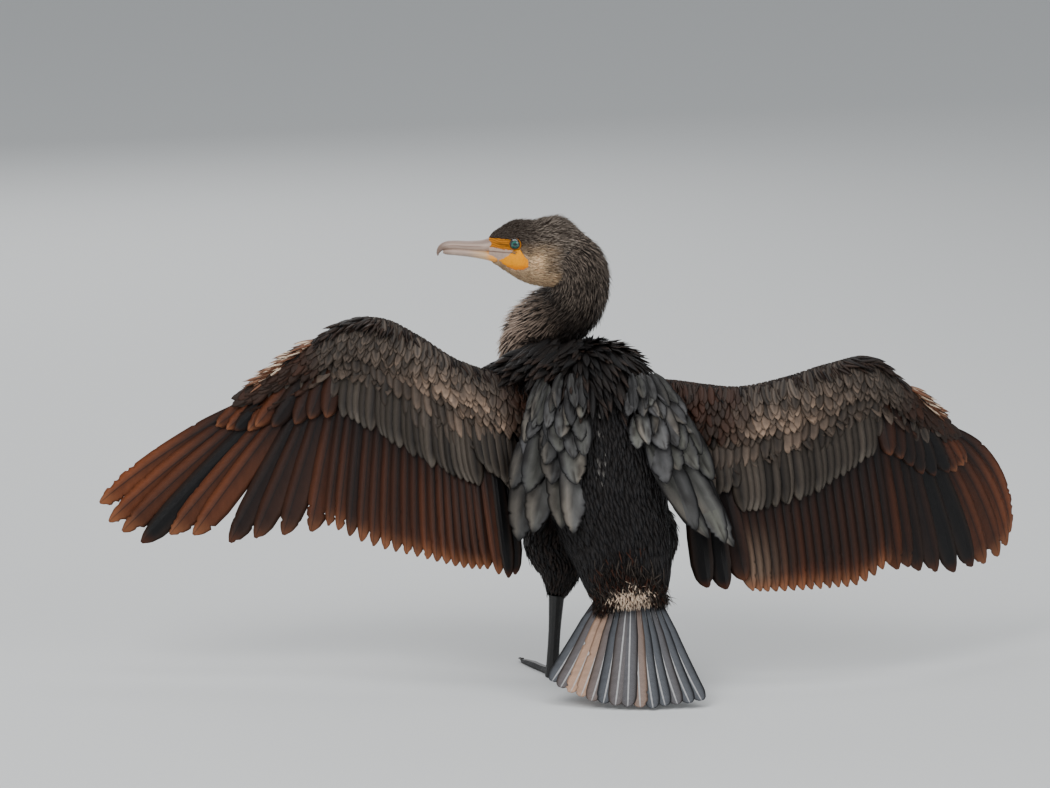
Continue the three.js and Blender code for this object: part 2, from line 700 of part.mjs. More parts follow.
// A toe lies on the floor, low and flat underneath, with a knuckle in its middle
function toe(foot, side, { turn, length, radius }) {
  const along = toeDirection(side, turn);
  const right = V(0, 0, 1).cross(along);
  const shares = [0, 0.25, 0.58, 0.84, 1];
  const fat = [1.5, 1.1, 1.08, 0.86, 0.62];
  const rings = shares.map((s, i) => {
    const r = radius * fat[i];
    const centre = vec(foot).addScaledVector(along, s * length).add(V(0, 0, r * 0.86));
    return ringOf(centre, right, V(0, 0, 1), r * 1.05, r, 7).map((p) => p.setZ(Math.max(p.z, 0)));
  });
  return loft(rings);
}

// The web is a thin sheet between neighbouring toes, drawn in between their tips
function web(foot, side) {
  const edge = [];
  const start = vec(foot);
  for (let k = 0; k + 1 < TOES.length; k++) {
    const a = TOES[k];
    const b = TOES[k + 1];
    const steps = 4;
    for (let i = k === 0 ? 0 : 1; i <= steps; i++) {
      const s = i / steps;
      const reach = mix(a.length, b.length, s) * (0.94 - 0.3 * Math.sin(Math.PI * s));
      edge.push(start.clone().addScaledVector(toeDirection(side, mix(a.turn, b.turn, s)), reach));
    }
  }
  const outline = new THREE.Shape([start, ...edge].map((p) => new THREE.Vector2(p.x, p.y)));
  const sheet = new THREE.ExtrudeGeometry(outline, { depth: WEB.high - WEB.low, bevelEnabled: false });
  return solidOf(sheet.translate(0, 0, WEB.low));
}

function foot({ foot: place, side }) {
  const heel = ringOf(vec(place).add(V(0, -4, 0)), V(1, 0, 0), V(0, 1, 0), 8.2, 10, 12);
  const upper = ringOf(vec(place).add(V(0, -4, FOOT_TOP - GAP)), V(1, 0, 0), V(0, 1, 0), 7.6, 9.2, 12);
  return join([loft([heel, upper]), web(place, side), ...TOES.map((t) => toe(place, side, t))]);
}

function claw(place, side, { turn, length, radius }) {
  const along = toeDirection(side, turn);
  const right = V(0, 0, 1).cross(along);
  const base = radius * 0.5;
  const shares = [0, 0.35, 0.7, 1];
  const rings = shares.map((s) => {
    const r = Math.max(0.4, CLAW.radius * (1 - 0.82 * s) * (radius / 4.2));
    const centre = vec(place)
      .addScaledVector(along, length + GAP + 0.1 + s * CLAW.length)
      .add(V(0, 0, base + 1.2 + 1.6 * Math.sin(Math.PI * s * 0.8) - 1.4 * s));
    return ringOf(centre, right, V(0, 0, 1), r, r * 1.1, 6);
  });
  return loft(rings);
}

// A node is the largest closed body of a solid, as a named mesh with its material
function largest(solid) {
  return solid.decompose().sort((a, b) => b.volume() - a.volume())[0];
}

function meshOf(name, solid, material) {
  const made = largest(solid).getMesh();
  const count = made.numVert;
  const positions = new Float32Array(count * 3);
  for (let i = 0; i < count; i++)
    positions.set(made.vertProperties.subarray(i * made.numProp, i * made.numProp + 3), i * 3);
  const geometry = new THREE.BufferGeometry();
  geometry.setAttribute("position", new THREE.BufferAttribute(positions, 3));
  geometry.setIndex(Array.from(made.triVerts));
  const mesh = new THREE.Mesh(geometry, material);
  mesh.name = name;
  return mesh;
}

const finish = (color, roughness, metalness = 0) => new THREE.MeshStandardMaterial({ color, roughness, metalness });
const MATERIALS = {
  plumage: finish(0x1c1815, 0.7),
  neck: finish(0x2b241f, 0.75),
  wing: finish(0x3a2a20, 0.65),
  tail: finish(0x3d4144, 0.6),
  bill: finish(0xb49c92, 0.45),
  eye: finish(0x2f7f70, 0.1),
  leg: finish(0x14110f, 0.55),
  claw: finish(0x0d0c0b, 0.4),
};

const bird = new THREE.Group();
const add = (name, solid, material) => bird.add(meshOf(name, solid, MATERIALS[material]));

// A slightly larger torso cuts the room for its neighbours
const feathered = (grow) =>
  join([torsoTube(grow), ...Object.values(SCAPULARS).flatMap((group) => scapulars(group, grow))]);
const torsoGrown = feathered(GAP);
add("torso", feathered(0), "plumage");
add("neck_lower", neckTube(0, NECK_CUT - 0.006).subtract(torsoGrown), "neck");
add("neck_upper", neckTube(NECK_CUT + 0.006, NECK_TOP).subtract(headBody(GAP)), "neck");
const { head, eyes } = headParts();
add("head", head, "neck");
add("eye_left", eyes.left, "eye");
add("eye_right", eyes.right, "eye");
add("bill_upper", billTube(BILL_UPPER), "bill");
add("bill_lower", billTube(BILL_LOWER).subtract(billTube(BILL_UPPER, GAP)), "bill");
add("tail", tailParts().subtract(torsoGrown), "tail");
for (const [name, wing] of Object.entries(WINGS)) {
  const forearmGrown = forearmPart(wing, GAP);
  const room = join([torsoGrown, neckTube(0, NECK_CUT, GAP), forearmGrown]);
  add(`wing_${name}_arm`, armPart(wing).subtract(room), "wing");
  add(`wing_${name}_forearm`, forearmPart(wing), "wing");
  add(`wing_${name}_hand`, handPart(wing).subtract(forearmGrown), "wing");
}
for (const [name, leg] of Object.entries(LEGS)) {
  const shank = tarsus(leg, GAP);
  add(`thigh_${name}`, thigh(leg).subtract(join([torsoGrown, shank])), "plumage");
  add(`tarsus_${name}`, tarsus(leg), "leg");
  add(`foot_${name}`, foot(leg).subtract(shank), "leg");
  for (const t of TOES) add(`claw_${name}_${t.name}`, claw(leg.foot, leg.side, t), "claw");
}
bird.position.set(...WHOLE_BIRD_SHIFT);

export default bird;
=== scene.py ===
# A first-winter great cormorant that dries its wings, seen from behind, in Blender.
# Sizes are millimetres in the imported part's own frame: +Z up, the bird looks along +Y, and its left is -X.
import json
import math
from collections import namedtuple

import bpy
import numpy as np
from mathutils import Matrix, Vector

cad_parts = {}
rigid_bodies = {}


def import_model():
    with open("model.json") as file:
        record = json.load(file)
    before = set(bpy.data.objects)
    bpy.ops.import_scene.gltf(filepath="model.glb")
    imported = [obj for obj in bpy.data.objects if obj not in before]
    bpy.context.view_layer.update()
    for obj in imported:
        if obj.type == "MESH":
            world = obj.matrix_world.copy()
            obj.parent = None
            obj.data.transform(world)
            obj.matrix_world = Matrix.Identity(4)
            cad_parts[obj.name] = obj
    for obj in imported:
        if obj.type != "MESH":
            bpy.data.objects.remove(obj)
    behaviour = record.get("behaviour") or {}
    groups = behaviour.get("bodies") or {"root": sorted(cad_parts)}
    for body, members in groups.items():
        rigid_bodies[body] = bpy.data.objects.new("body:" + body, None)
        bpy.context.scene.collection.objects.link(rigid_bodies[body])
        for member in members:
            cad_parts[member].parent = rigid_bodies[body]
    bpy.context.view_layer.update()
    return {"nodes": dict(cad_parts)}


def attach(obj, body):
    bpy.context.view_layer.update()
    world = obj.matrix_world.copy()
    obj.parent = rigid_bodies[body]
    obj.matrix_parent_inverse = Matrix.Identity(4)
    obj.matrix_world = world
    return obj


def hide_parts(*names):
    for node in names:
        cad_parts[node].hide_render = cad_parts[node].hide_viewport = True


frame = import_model()

MM = 0.001
X_AXIS, Y_AXIS = (1, 0, 0), (0, 1, 0)

# Depth of the coat: the skin lies this far inside the solids
COAT, THIGH_COAT = 3.0, 2.0

# Torso from the tail root up to the neck: centre, half width and half depth
TORSO = {
    "at": [(84, -84, 102), (80, -66, 120), (73, -38, 154), (59, -10, 200), (54, 14, 245), (50, 35, 288),
           (42, 54, 324), (32, 72, 348), (24, 86, 364)],
    "wide": [38, 50, 60, 70, 76, 77, 68, 54, 30],
    "deep": [12, 30, 50, 64, 68, 65, 56, 44, 24],
    "hint": X_AXIS,
}

# Neck from inside the torso to the back of the head: centre and radius
NECK_RADIUS = [46, 44, 39, 36.5, 34.5, 33, 31.5, 27]
NECK = {
    "at": [(4, 66, 316), (-22, 100, 342), (-25, 116, 370), (-4, 110, 397), (17, 96, 422), (25, 86, 447),
           (21, 80, 470), (4, 78, 487)],
    "wide": NECK_RADIUS,
    "deep": NECK_RADIUS,
    "hint": Y_AXIS,
}

# The last stations of the torso and the neck
TORSO_END, NECK_END = len(TORSO["at"]) - 1, len(NECK["at"]) - 1

# Head rings from the nape to the bill: x, top, bottom and half width
HEAD_Y = 78
HEAD = [(33, 501, 462, 13), (24, 509, 452, 20), (6, 520, 445, 25.5), (-12, 522, 444, 26.5),
        (-30, 518.5, 446, 25.5), (-47, 519, 453, 23), (-61, 516, 462, 18.5), (-73, 509, 470, 13.5),
        (-80, 503, 474, 11)]

# Bill rings: x, z, half width and half height
BILL_UPPER = [(-76, 493.0, 10.2, 8.6), (-88, 491.4, 8.8, 6.8), (-104, 491.4, 7.4, 5.6),
              (-118, 492.2, 6.4, 5.2), (-128, 492.0, 5.6, 4.8), (-135, 489.2, 4.2, 3.9),
              (-138.8, 483.8, 2.2, 2.0), (-139.2, 479.6, 0.6, 0.6)]
BILL_LOWER = [(-70, 478.6, 10.6, 7.2), (-84, 481, 8.6, 6.0), (-102, 483.2, 6.8, 5.0),
              (-118, 484.4, 5.6, 4.4), (-129, 484.6, 4.4, 3.6), (-133.2, 484.8, 2.6, 2.4)]

EYE_X, EYE_Z, LID_RADIUS, LID_THICK = -50, 496, 5.3, 0.8

# The bare parts of the face, seen from the side, and the bare ring round the eye
GULAR = [(-69.5, 475.5), (-62, 479.5), (-55, 485), (-51.5, 489), (-44, 490), (-39.5, 483), (-34.5, 478),
         (-34.5, 470), (-40.5, 466.5), (-50, 465.5), (-60.5, 469)]
MOUTH_LINE = [(-52, 489), (-63, 489.5), (-74, 491), (-84, 492)]
LORES = [(-84, 501), (-73, 501.8), (-63, 501.5), (-55, 502)] + MOUTH_LINE
JAW = MOUTH_LINE[::-1] + [(-55, 485), (-62, 479.5), (-69.5, 475.5), (-76, 472), (-84, 472)]
EYE_BARE = 7.2

# Each wing's leading and rear edge at stations from the body out, with the elbow and the wrist at 3 and 6.
# Primaries and secondaries are listed from the wrist, and tertials from the elbow: how far a feather swings
# towards +X and reaches towards +Y from hanging straight down, in degrees, its length, and its moult, from 0
# for an old rufous feather to 1 for a new black one. Reddish gives the stations between which the arm turns
# dark and reddish, worn the middle and spread of its tan part, and rufous_edge the hand's rufous stretch.
ELBOW, WRIST, TIP = 3, 6, 9
WINGS = {
    "left": {
        "side": -1,
        "lead": [(-2, 46, 342), (-42, 46, 347), (-76, 36, 352), (-119, 28, 368), (-159, 32, 393),
                 (-200, 42, 412), (-238, 48, 410), (-277, 46, 389), (-312, 40, 364), (-350, 31, 333)],
        "rear": [(8, 34, 262), (-30, 30, 250), (-59, 12, 262), (-95, 0, 287), (-136, 6, 320),
                 (-186, 24, 350), (-241, 36, 372), (-268, 36, 357), (-301, 32, 338), (-343, 27, 321)],
        "primaries": {
            "swing": [-11.9, -18, -24.4, -29.2, -37.9, -42, -45.1, -49.5, -52.7, -57.7],
            "reach": [-13, -11, -8, -4],
            "bow": [0, 0, 0.01, 0.03],
            "length": [210, 216, 222, 230, 235, 240, 257, 251, 242, 224],
            "new": [0.55, 0.65, 0.7, 0.8, 0.2, 0.15, 1, 0.12, 0.1, 0.05],
        },
        "secondaries": {
            "swing": [-8.1, -4.7, -1.7, 1.4, 4.7, 8.1],
            "reach": [-14, -15.5, -18, -21],
            "length": [201, 208, 203, 194, 184, 168],
            "new": [0.45, 0.3, 0.6, 0.2, 0.4, 0.1, 0.35, 0.15, 0.3, 0.1, 0.35, 0.1, 0.3, 0.2, 0.3, 0.15,
                    0.3],
            "tone": 0.6,
        },
        "tertials": {"swing": [9, 8, 6], "reach": [-22, -24], "length": [168, 162, 150],
                     "new": [0.3, 1, 1]},
        "tertial_start": 2.9,
        "tertial_width": 21,
        "reddish": (2.4, 1.2),
        "worn": (3.0, 1.7),
        "rufous_edge": (WRIST + 1.1, WRIST + 2.7),
    },
    "right": {
        "side": 1,
        "lead": [(84, 46, 342), (131, 46, 340), (168, 36, 337), (209, 26, 336), (260, 30, 346),
                 (310, 40, 360), (356, 48, 366), (396, 62, 337), (423, 78, 310), (447, 95, 283)],
        "rear": [(80, 34, 262), (122, 30, 250), (152, 12, 251), (190, 0, 260), (246, 4, 280),
                 (301, 20, 303), (355, 36, 328), (387, 50, 311), (412, 68, 291), (439, 89, 273)],
        "primaries": {
            "swing": [10.2, 11.4, 12.5, 15.7, 19.5, 23.9, 26.5, 30, 32.6, 34.8],
            "reach": [-6, 4, 17, 31],
            "bow": [0, 0, 0.05, 0.13],
            "length": [211, 207, 208, 209, 213, 213, 216, 217, 213, 203],
            "new": [0.6, 0.7, 0.85, 0.8, 0.95, 0.9, 0.25, 0.15, 0.12, 0.1],
        },
        "secondaries": {
            "swing": [9.2, 8.4, 8.3, 8, 7.8, 9.3],
            "reach": [-11, -13, -16, -19],
            "length": [203, 209, 198, 186, 175, 164],
            "new": [0.6, 0.2, 0.35, 0.1, 0.3, 0.15, 0.2, 0.4, 0.1, 0.3, 0.1, 0.3, 0.15, 0.25, 0.1, 0.15,
                    0.1],
            "tone": 0.31,
        },
        "tertials": {"swing": [12.6, 9.2, 6], "reach": [-20, -22], "length": [150, 156, 152],
                     "new": [0.75, 1, 1]},
        "tertial_start": 2.85,
        "tertial_width": 31,
        "reddish": (3.6, 2.4),
        "worn": (4.1, 1.25),
        "rufous_edge": (WRIST + 1.3, WRIST + 2.3),
    },
}
WING_THICK = [30, 26, 23, 20, 17, 15, 15, 12, 9, 5]

# The tail's feathers fan round a point this far above its root, and its sheet flattens over a stated length
TAIL_BEHIND, TAIL_WIDTH = 78, 21
TAIL_ROOT = (85, -86, 102)
TAIL_SWING, TAIL_SLOPE, TAIL_FLAT = (-27, 20), (57, 26), 150
TAIL_LENGTH = [128, 141, 149, 152, 149]
TAIL_PALE = [0, 0.1, 1.0, 0.9, 0.2, 0, 0.1, 0.05, 0.4, 0, 0, 0.05, 0, 0]

THIGH_RADII = [22, 35, 27, 12.5]
THIGHS = {
    side: {"at": line, "wide": THIGH_RADII, "deep": THIGH_RADII, "hint": X_AXIS}
    for side, line in {
        "left": [(16, 12, 206), (-6, 8, 164), (2, 0, 127), (-2, -8, 98)],
        "right": [(96, 12, 206), (104, 8, 164), (98, 0, 127), (97, -8, 98)],
    }.items()
}

# The shoulder feathers hang over each side of the back, on a sheet between an outer and an inner line
SCAPULARS = {
    "left": ([(-30, 12, 350), (-42, -8, 300), (-50, -28, 240), (-56, -50, 168)],
             [(38, 0, 358), (34, -34, 310), (28, -62, 255), (14, -76, 180)]),
    "right": ([(118, 16, 351), (144, 2, 315), (172, -20, 255), (208, -50, 162)],
              [(74, 2, 354), (86, -34, 304), (108, -58, 250), (168, -60, 160)]),
}
# Their rows from the top: where one starts and ends along the sheet, and how wide its feathers are
SCAPULAR_ROWS = [(0.0, 0.28, 15), (0.09, 0.37, 17), (0.18, 0.48, 23), (0.27, 0.6, 28), (0.37, 0.76, 33),
                 (0.5, 1, 36)]

# Where the mantle's left part springs, from the middle to the left, and where its tips end
MANTLE_TOP = [(30, 52, 385), (0, 62, 384), (-28, 66, 378), (-52, 58, 366)]
MANTLE_FOOT = [(26, 14, 362), (-14, 22, 356), (-50, 32, 348), (-76, 36, 346)]

# The photo's width in pixels, its scale at the bird, and how far above the level it looks down, in degrees
PHOTO_WIDTH, MM_PER_PIXEL, CAMERA_RISE = 1050, 1.15, 10

# Colours, linear
BLACK = np.array([0.0035, 0.0032, 0.0036])
BLACK_BROWN = np.array([0.0095, 0.0062, 0.0048])
DARK_BROWN = np.array([0.03, 0.0155, 0.0095])
RUFOUS = np.array([0.17, 0.046, 0.015])
RUFOUS_PALE = np.array([0.36, 0.135, 0.055])
GREY = np.array([0.04, 0.0435, 0.05])
SLATE = np.array([0.078, 0.077, 0.08])
GREY_PALE = np.array([0.2, 0.185, 0.17])
OLIVE = np.array([0.06, 0.06, 0.05])
HEAD_BROWN = np.array([0.1, 0.078, 0.062])
TAN = np.array([0.25, 0.17, 0.12])
BUFF = np.array([0.42, 0.3, 0.21])
CREAM = np.array([0.46, 0.36, 0.27])
ORANGE = np.array([0.75, 0.25, 0.005])
YELLOW = np.array([1.0, 0.37, 0.0])
HORN = np.array([0.46, 0.335, 0.27])
HORN_DARK = np.array([0.16, 0.1, 0.075])
HORN_WARM = np.array([0.66, 0.43, 0.24])
TAIL_BLUE = np.array([0.088, 0.094, 0.106])
TAIL_WORN = np.array([0.48, 0.3, 0.205])
SHAFT_WHITE = np.array([0.5, 0.5, 0.5])


def through(values, t):
    """The values at t along a smooth curve through evenly numbered values."""
    values = np.asarray(values, float)
    last = len(values) - 1
    at = np.clip(np.asarray(t, float), 0, last)
    i = np.minimum(at.astype(int), last - 1)
    shape = np.shape(i) + (1,) * (values.ndim - 1)
    f = np.reshape(at - i, shape)
    b, c = values[i], values[i + 1]
    a = np.where(np.reshape(i > 0, shape), values[np.maximum(i - 1, 0)], 2 * b - c)
    d = np.where(np.reshape(i + 2 <= last, shape), values[np.minimum(i + 2, last)], 2 * c - b)
    return b + 0.5 * f * (c - a + f * (2 * a - 5 * b + 4 * c - d + f * (3 * (b - c) + d - a)))


def share(values, s):
    """The values at a share from 0 to 1 along a list."""
    return through(values, np.asarray(s, float) * (len(values) - 1))


def unit(v):
    return v / np.maximum(np.linalg.norm(v, axis=-1, keepdims=True), 1e-9)


def step(low, high, x):
    """A smooth step from 0 at low to 1 at high."""
    t = np.clip((x - low) / (high - low), 0, 1)
    return t * t * (3 - 2 * t)


def bump(x, middle, spread):
    """1 at the middle, falling off on both sides."""
    return np.exp(-((x - middle) / spread) ** 2)


def mix(a, b, f):
    return a + (b - a) * f


def col(a, b, f):
    """Two colours mixed by an array of shares."""
    return a + (b - a) * np.asarray(f, float)[..., None]


def grid(a, b):
    return np.meshgrid(a, b, indexing="ij")


def full_turn(count):
    return np.arange(count) / count * 2 * np.pi


def hanging(swing, reach):
    """The direction straight down, swung towards +X and reached towards +Y, in degrees."""
    a, b = np.radians(swing), np.radians(reach)
    return np.stack([np.sin(a) * np.cos(b), np.sin(b), -np.cos(a) * np.cos(b)], -1)


def inside(outline, x, z):
    """Whether points lie within a closed outline."""
    within = np.zeros(np.shape(x), bool)
    for (x0, z0), (x1, z1) in zip(outline, outline[1:] + outline[:1]):
        crosses = (z0 > z) != (z1 > z)
        within ^= crosses & (x < x0 + (x1 - x0) * (z - z0) / (z1 - z0 + 1e-9))
    return within


# Surfaces

def tube_frame(tube, t):
    """The direction along a tube, the one that its hint points to, and the one across both."""
    at, hint = tube["at"], np.asarray(tube["hint"], float)
    axis = unit(through(at, np.minimum(t + 0.05, len(at) - 1)) - through(at, np.maximum(t - 0.05, 0)))
    right = unit(hint - axis * (axis @ hint)[..., None])
    return axis, right, np.cross(axis, right)


def tube_point(tube, t, angle, lift=0.0):
    """A point on an elliptical tube and the normal there. Angle 0 is along its hint, in radians."""
    t = np.asarray(t, float)
    _, right, up = tube_frame(tube, t)
    w = (through(tube["wide"], t) + lift)[..., None]
    d = (through(tube["deep"], t) + lift)[..., None]
    c, s = np.cos(angle)[..., None], np.sin(angle)[..., None]
    return through(tube["at"], t) + right * w * c + up * d * s, unit(right * c / w + up * s / d)


def tube_rings(tube, steps, sides, lift):
    t, turn = grid(np.linspace(0, len(tube["at"]) - 1, steps + 1), full_turn(sides))
    points, _ = tube_point(tube, t.ravel(), turn.ravel(), lift)
    return points.reshape(steps + 1, sides, 3)


# +1 or -1: the side of the torso tube that is the back
TORSO_BACK = 1.0 if tube_frame(TORSO, np.array([4.0]))[2][0][1] < 0 else -1.0


def torso_point(t, angle, lift=0.0):
    """A point on the torso. Angle 0 is the middle of the back, and positive its right, in degrees."""
    return tube_point(TORSO, t, np.radians(90 - np.asarray(angle, float)) * TORSO_BACK, lift)


def wing_up(wing, t):
    """The way the wing's upper face looks, towards the tail side."""
    middle = lambda x: through(wing["lead"], x) + through(wing["rear"], x)
    span = middle(np.minimum(t + 0.2, TIP)) - middle(np.maximum(t - 0.2, 0))
    up = unit(np.cross(span, through(wing["rear"], t) - through(wing["lead"], t)))
    return up * np.where(up[..., 1:2] > 0, -1, 1)


def on_wing(wing, t, chord, height=0.0):
    """A point on the wing's middle plane, raised towards its upper face."""
    t, chord, height = np.broadcast_arrays(np.asarray(t, float), chord, height)
    lead, rear = through(wing["lead"], t), through(wing["rear"], t)
    return lead + (rear - lead) * chord[..., None] + wing_up(wing, t) * height[..., None]


def wing_skin(t, chord):
    """Half a wing's thickness at a share of its chord."""
    chord = np.asarray(chord, float)
    return through(WING_THICK, t) / 2 * np.sqrt(np.clip(1 - (2 * chord - 1) ** 2, 0, 1))


def chord_line(wing, t):
    """The direction from the leading edge to the rear edge."""
    return unit(through(wing["rear"], t) - through(wing["lead"], t))


def head_station(x):
    """The ring number at which the head has this x."""
    xs = np.array([ring[0] for ring in HEAD], float)
    return np.interp(-np.asarray(x, float), -xs, np.arange(len(xs)))


def head_point(x, turn, lift=0.0):
    """A point on the head and the normal there. Turn 0 is its right side and pi / 2 its crown."""
    t = head_station(x)
    ring = through(HEAD, t)
    top, bottom, wide = ring[..., 1] + lift, ring[..., 2] - lift, ring[..., 3] + lift
    high = (top - bottom) / 2
    point = np.stack([np.broadcast_to(x, t.shape), HEAD_Y + wide * np.cos(turn),
                      (top + bottom) / 2 + high * np.sin(turn)], -1)
    ahead = through(HEAD, t + 0.1)
    back = through(HEAD, np.maximum(t - 0.1, 0))
    run = back[..., 0] - ahead[..., 0] + 1e-6
    growth = (ahead[..., 3] - back[..., 3] + ahead[..., 1] - back[..., 1]) / 2 / run
    normal = unit(np.stack([growth * 0.8, np.cos(turn) / wide * 20, np.sin(turn) / high * 20], -1))
    return point, normal


# Meshes

def mesh_object(name, points, faces, smooth=True):
    """A mesh object from points in millimetres."""
    mesh = bpy.data.meshes.new(name)
    points = np.asarray(points, np.float32) * MM
    faces = np.asarray(faces, np.int32)
    corners = faces.shape[1]
    mesh.vertices.add(len(points))
    mesh.vertices.foreach_set("co", points.ravel())
    mesh.loops.add(faces.size)
    mesh.loops.foreach_set("vertex_index", faces.ravel())
    mesh.polygons.add(len(faces))
    mesh.polygons.foreach_set("loop_start", np.arange(0, faces.size, corners, dtype=np.int32))
    mesh.polygons.foreach_set("loop_total", np.full(len(faces), corners, np.int32))
    mesh.update(calc_edges=True)
    obj = bpy.data.objects.new(name, mesh)
    bpy.context.scene.collection.objects.link(obj)
    if smooth:
        smoothed(obj)
    return obj


def smoothed(obj):
    obj.data.polygons.foreach_set("use_smooth", np.ones(len(obj.data.polygons), bool))


def points_of(obj):
    """An object's points in millimetres."""
    points = np.zeros(len(obj.data.vertices) * 3, np.float32)
    obj.data.vertices.foreach_get("co", points)
    return points.reshape(-1, 3) / MM


def set_color(obj, values):
    layer = obj.data.attributes.new("shade", "FLOAT_COLOR", "POINT")
    rgba = np.ones((len(obj.data.vertices), 4), np.float32)
    rgba[:, :3] = values
    layer.data.foreach_set("color", rgba.ravel())


def set_barb(obj, values):
    """Places on the vane for the barbs of its feathers: across it, along a barb, and a random number."""
    layer = obj.data.attributes.new("barb", "FLOAT_VECTOR", "POINT")
    layer.data.foreach_set("vector", np.asarray(values, np.float32).ravel())


def set_uv(obj, values):
    """The OFBake map from one place for each vertex."""
    layer = obj.data.uv_layers.new(name="OFBake")
    index = np.zeros(len(obj.data.loops), np.int32)
    obj.data.loops.foreach_get("vertex_index", index)
    layer.data.foreach_set("uv", np.asarray(values, np.float32)[index].ravel())


def dressed(obj, material):
    """Gives a piece its material and hangs it on the root body."""
    obj.data.materials.clear()
    obj.data.materials.append(material)
    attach(obj, "root")
    return obj


def ring_triangles(rings, count):
    """Triangles between rings of count points, with the points of each ring in turn."""
    r, k = grid(np.arange(rings - 1), np.arange(count))
    a = r * count + k
    b = r * count + (k + 1) % count
    quads = np.stack([a, b, b + count, a + count], -1).reshape(-1, 4)
    return np.concatenate([quads[:, [0, 1, 2]], quads[:, [0, 2, 3]]])


def vane_triangles(rings, count):
    """The triangles of one closed vane, with a fan over each end."""
    k = np.arange(1, count - 1)
    zero = np.zeros_like(k)
    return np.concatenate([ring_triangles(rings, count), np.stack([zero, k + 1, k], -1),
                           (rings - 1) * count + np.stack([zero, k, k + 1], -1)])


def loft(name, rings):
    """A closed body through rings of equal count, as an object."""
    rings = np.asarray(rings, float)
    n, count, _ = rings.shape
    points = np.concatenate([rings.reshape(-1, 3), rings[:1].mean(1), rings[-1:].mean(1)])
    k = np.arange(count)
    base = (n - 1) * count
    low = np.stack([(k + 1) % count, k, np.full(count, n * count)], -1)
    high = np.stack([base + k, base + (k + 1) % count, np.full(count, n * count + 1)], -1)
    return mesh_object(name, points, np.concatenate([ring_triangles(n, count), low, high]))


# Materials

class Shader:
    """A new material with one principled shader, and short ways to add and join its nodes."""

    def __init__(self, name, roughness, specular=0.5):
        self.material = bpy.data.materials.new(name)
        self.material.use_nodes = True
        self.nodes, self.links = self.material.node_tree.nodes, self.material.node_tree.links
        self.nodes.clear()
        self.main = self.node("BsdfPrincipled", **{"Roughness": roughness, "Specular IOR Level": specular})
        self.links.new(self.main.outputs["BSDF"], self.node("OutputMaterial").inputs["Surface"])

    def node(self, kind, **inputs):
        """A node with its inputs set: another node's output is linked, and a plain value is stored."""
        made = self.nodes.new("ShaderNode" + kind)
        for key, value in inputs.items():
            self.feed(made.inputs[key], value)
        return made

    def feed(self, socket, value):
        if isinstance(value, bpy.types.NodeSocket):
            self.links.new(value, socket)
        else:
            socket.default_value = value

    def math(self, operation, *values):
        made = self.nodes.new("ShaderNodeMath")
        made.operation = operation
        for socket, value in zip(made.inputs, values):
            self.feed(socket, value)
        return made.outputs[0]

    def place(self):
        """The place in the object's own space."""
        return self.node("TexCoord").outputs["Object"]

    def level(self, value, amount, low):
        """A value scaled by an amount and raised by low."""
        return self.math("ADD", self.math("MULTIPLY", value, amount), low)

    def tint(self, level):
        """The piece's own colours, scaled by a level, as the base colour."""
        shade = self.nodes.new("ShaderNodeVertexColor")
        shade.layer_name = "shade"
        toned = self.nodes.new("ShaderNodeVectorMath")
        toned.operation = "SCALE"
        self.links.new(shade.outputs["Color"], toned.inputs[0])
        self.links.new(level, toned.inputs["Scale"])
        self.links.new(toned.outputs[0], self.main.inputs["Base Color"])

    def relief(self, height, strength, distance):
        bumps = self.node("Bump", Strength=strength, Distance=distance, Height=height)
        self.links.new(bumps.outputs[0], self.main.inputs["Normal"])

    def ramp(self, value, stops):
        """Colours at stops along a value, as the base colour."""
        made = self.node("ValToRGB", Fac=value)
        elements = made.color_ramp.elements
        for i, (at, color) in enumerate(stops):
            element = elements[i] if i < 2 else elements.new(at)
            element.position = at
            element.color = (*color, 1)
        self.links.new(made.outputs["Color"], self.main.inputs["Base Color"])


def feather_material(name, roughness, barb_size, strength):
    """Plumage: the piece's colours, with fine barbs that leave the shaft at a slant."""
    made = Shader(name, roughness, 0.22)
    barb = made.nodes.new("ShaderNodeAttribute")
    barb.attribute_name = "barb"
    place = barb.outputs["Vector"]
    blur = made.node("TexNoise", Scale=0.35, Detail=2.0, Vector=place)
    line = made.math("ADD", made.node("SeparateXYZ", Vector=place).outputs["Y"],
                     made.math("MULTIPLY", blur.outputs["Fac"], 2.2))
    wave = made.math("SINE", made.math("MULTIPLY", line, 2 * math.pi / barb_size))
    fine = made.math("MULTIPLY", made.math("ADD", wave, 1.0), 0.5)
    patchy = made.node("TexNoise", Scale=0.12, Detail=3.0, Vector=place)
    worn = made.level(patchy.outputs["Fac"], 0.5, 0.75)
    made.tint(made.math("MULTIPLY", made.level(fine, 0.35, 0.825), worn))
    made.relief(fine, strength, 0.0004)
    return made.material


def skin_material(name, roughness, scale, strength, specular):
    """Bare or downy skin: the piece's colours with a fine pebbled relief."""
    made = Shader(name, roughness, specular)
    mottle = made.node("TexNoise", Scale=scale * 0.4, Detail=4.0, Vector=made.place())
    made.tint(made.level(mottle.outputs["Fac"], 0.5, 0.75))
    pebble = made.node("TexVoronoi", Scale=scale, Vector=made.place())
    made.relief(pebble.outputs["Distance"], strength, 0.0005)
    return made.material


def horn_material():
    """Bill horn: its colours with a grain that runs along it."""
    made = Shader("horn", 0.38)
    stretch = made.node("Mapping", Scale=(60, 500, 500), Vector=made.place())
    grain = made.node("TexNoise", Scale=1.0, Detail=4.0, Vector=stretch.outputs[0])
    made.tint(made.level(grain.outputs["Fac"], 0.5, 0.75))
    made.relief(grain.outputs["Fac"], 0.3, 0.0003)
    return made.material


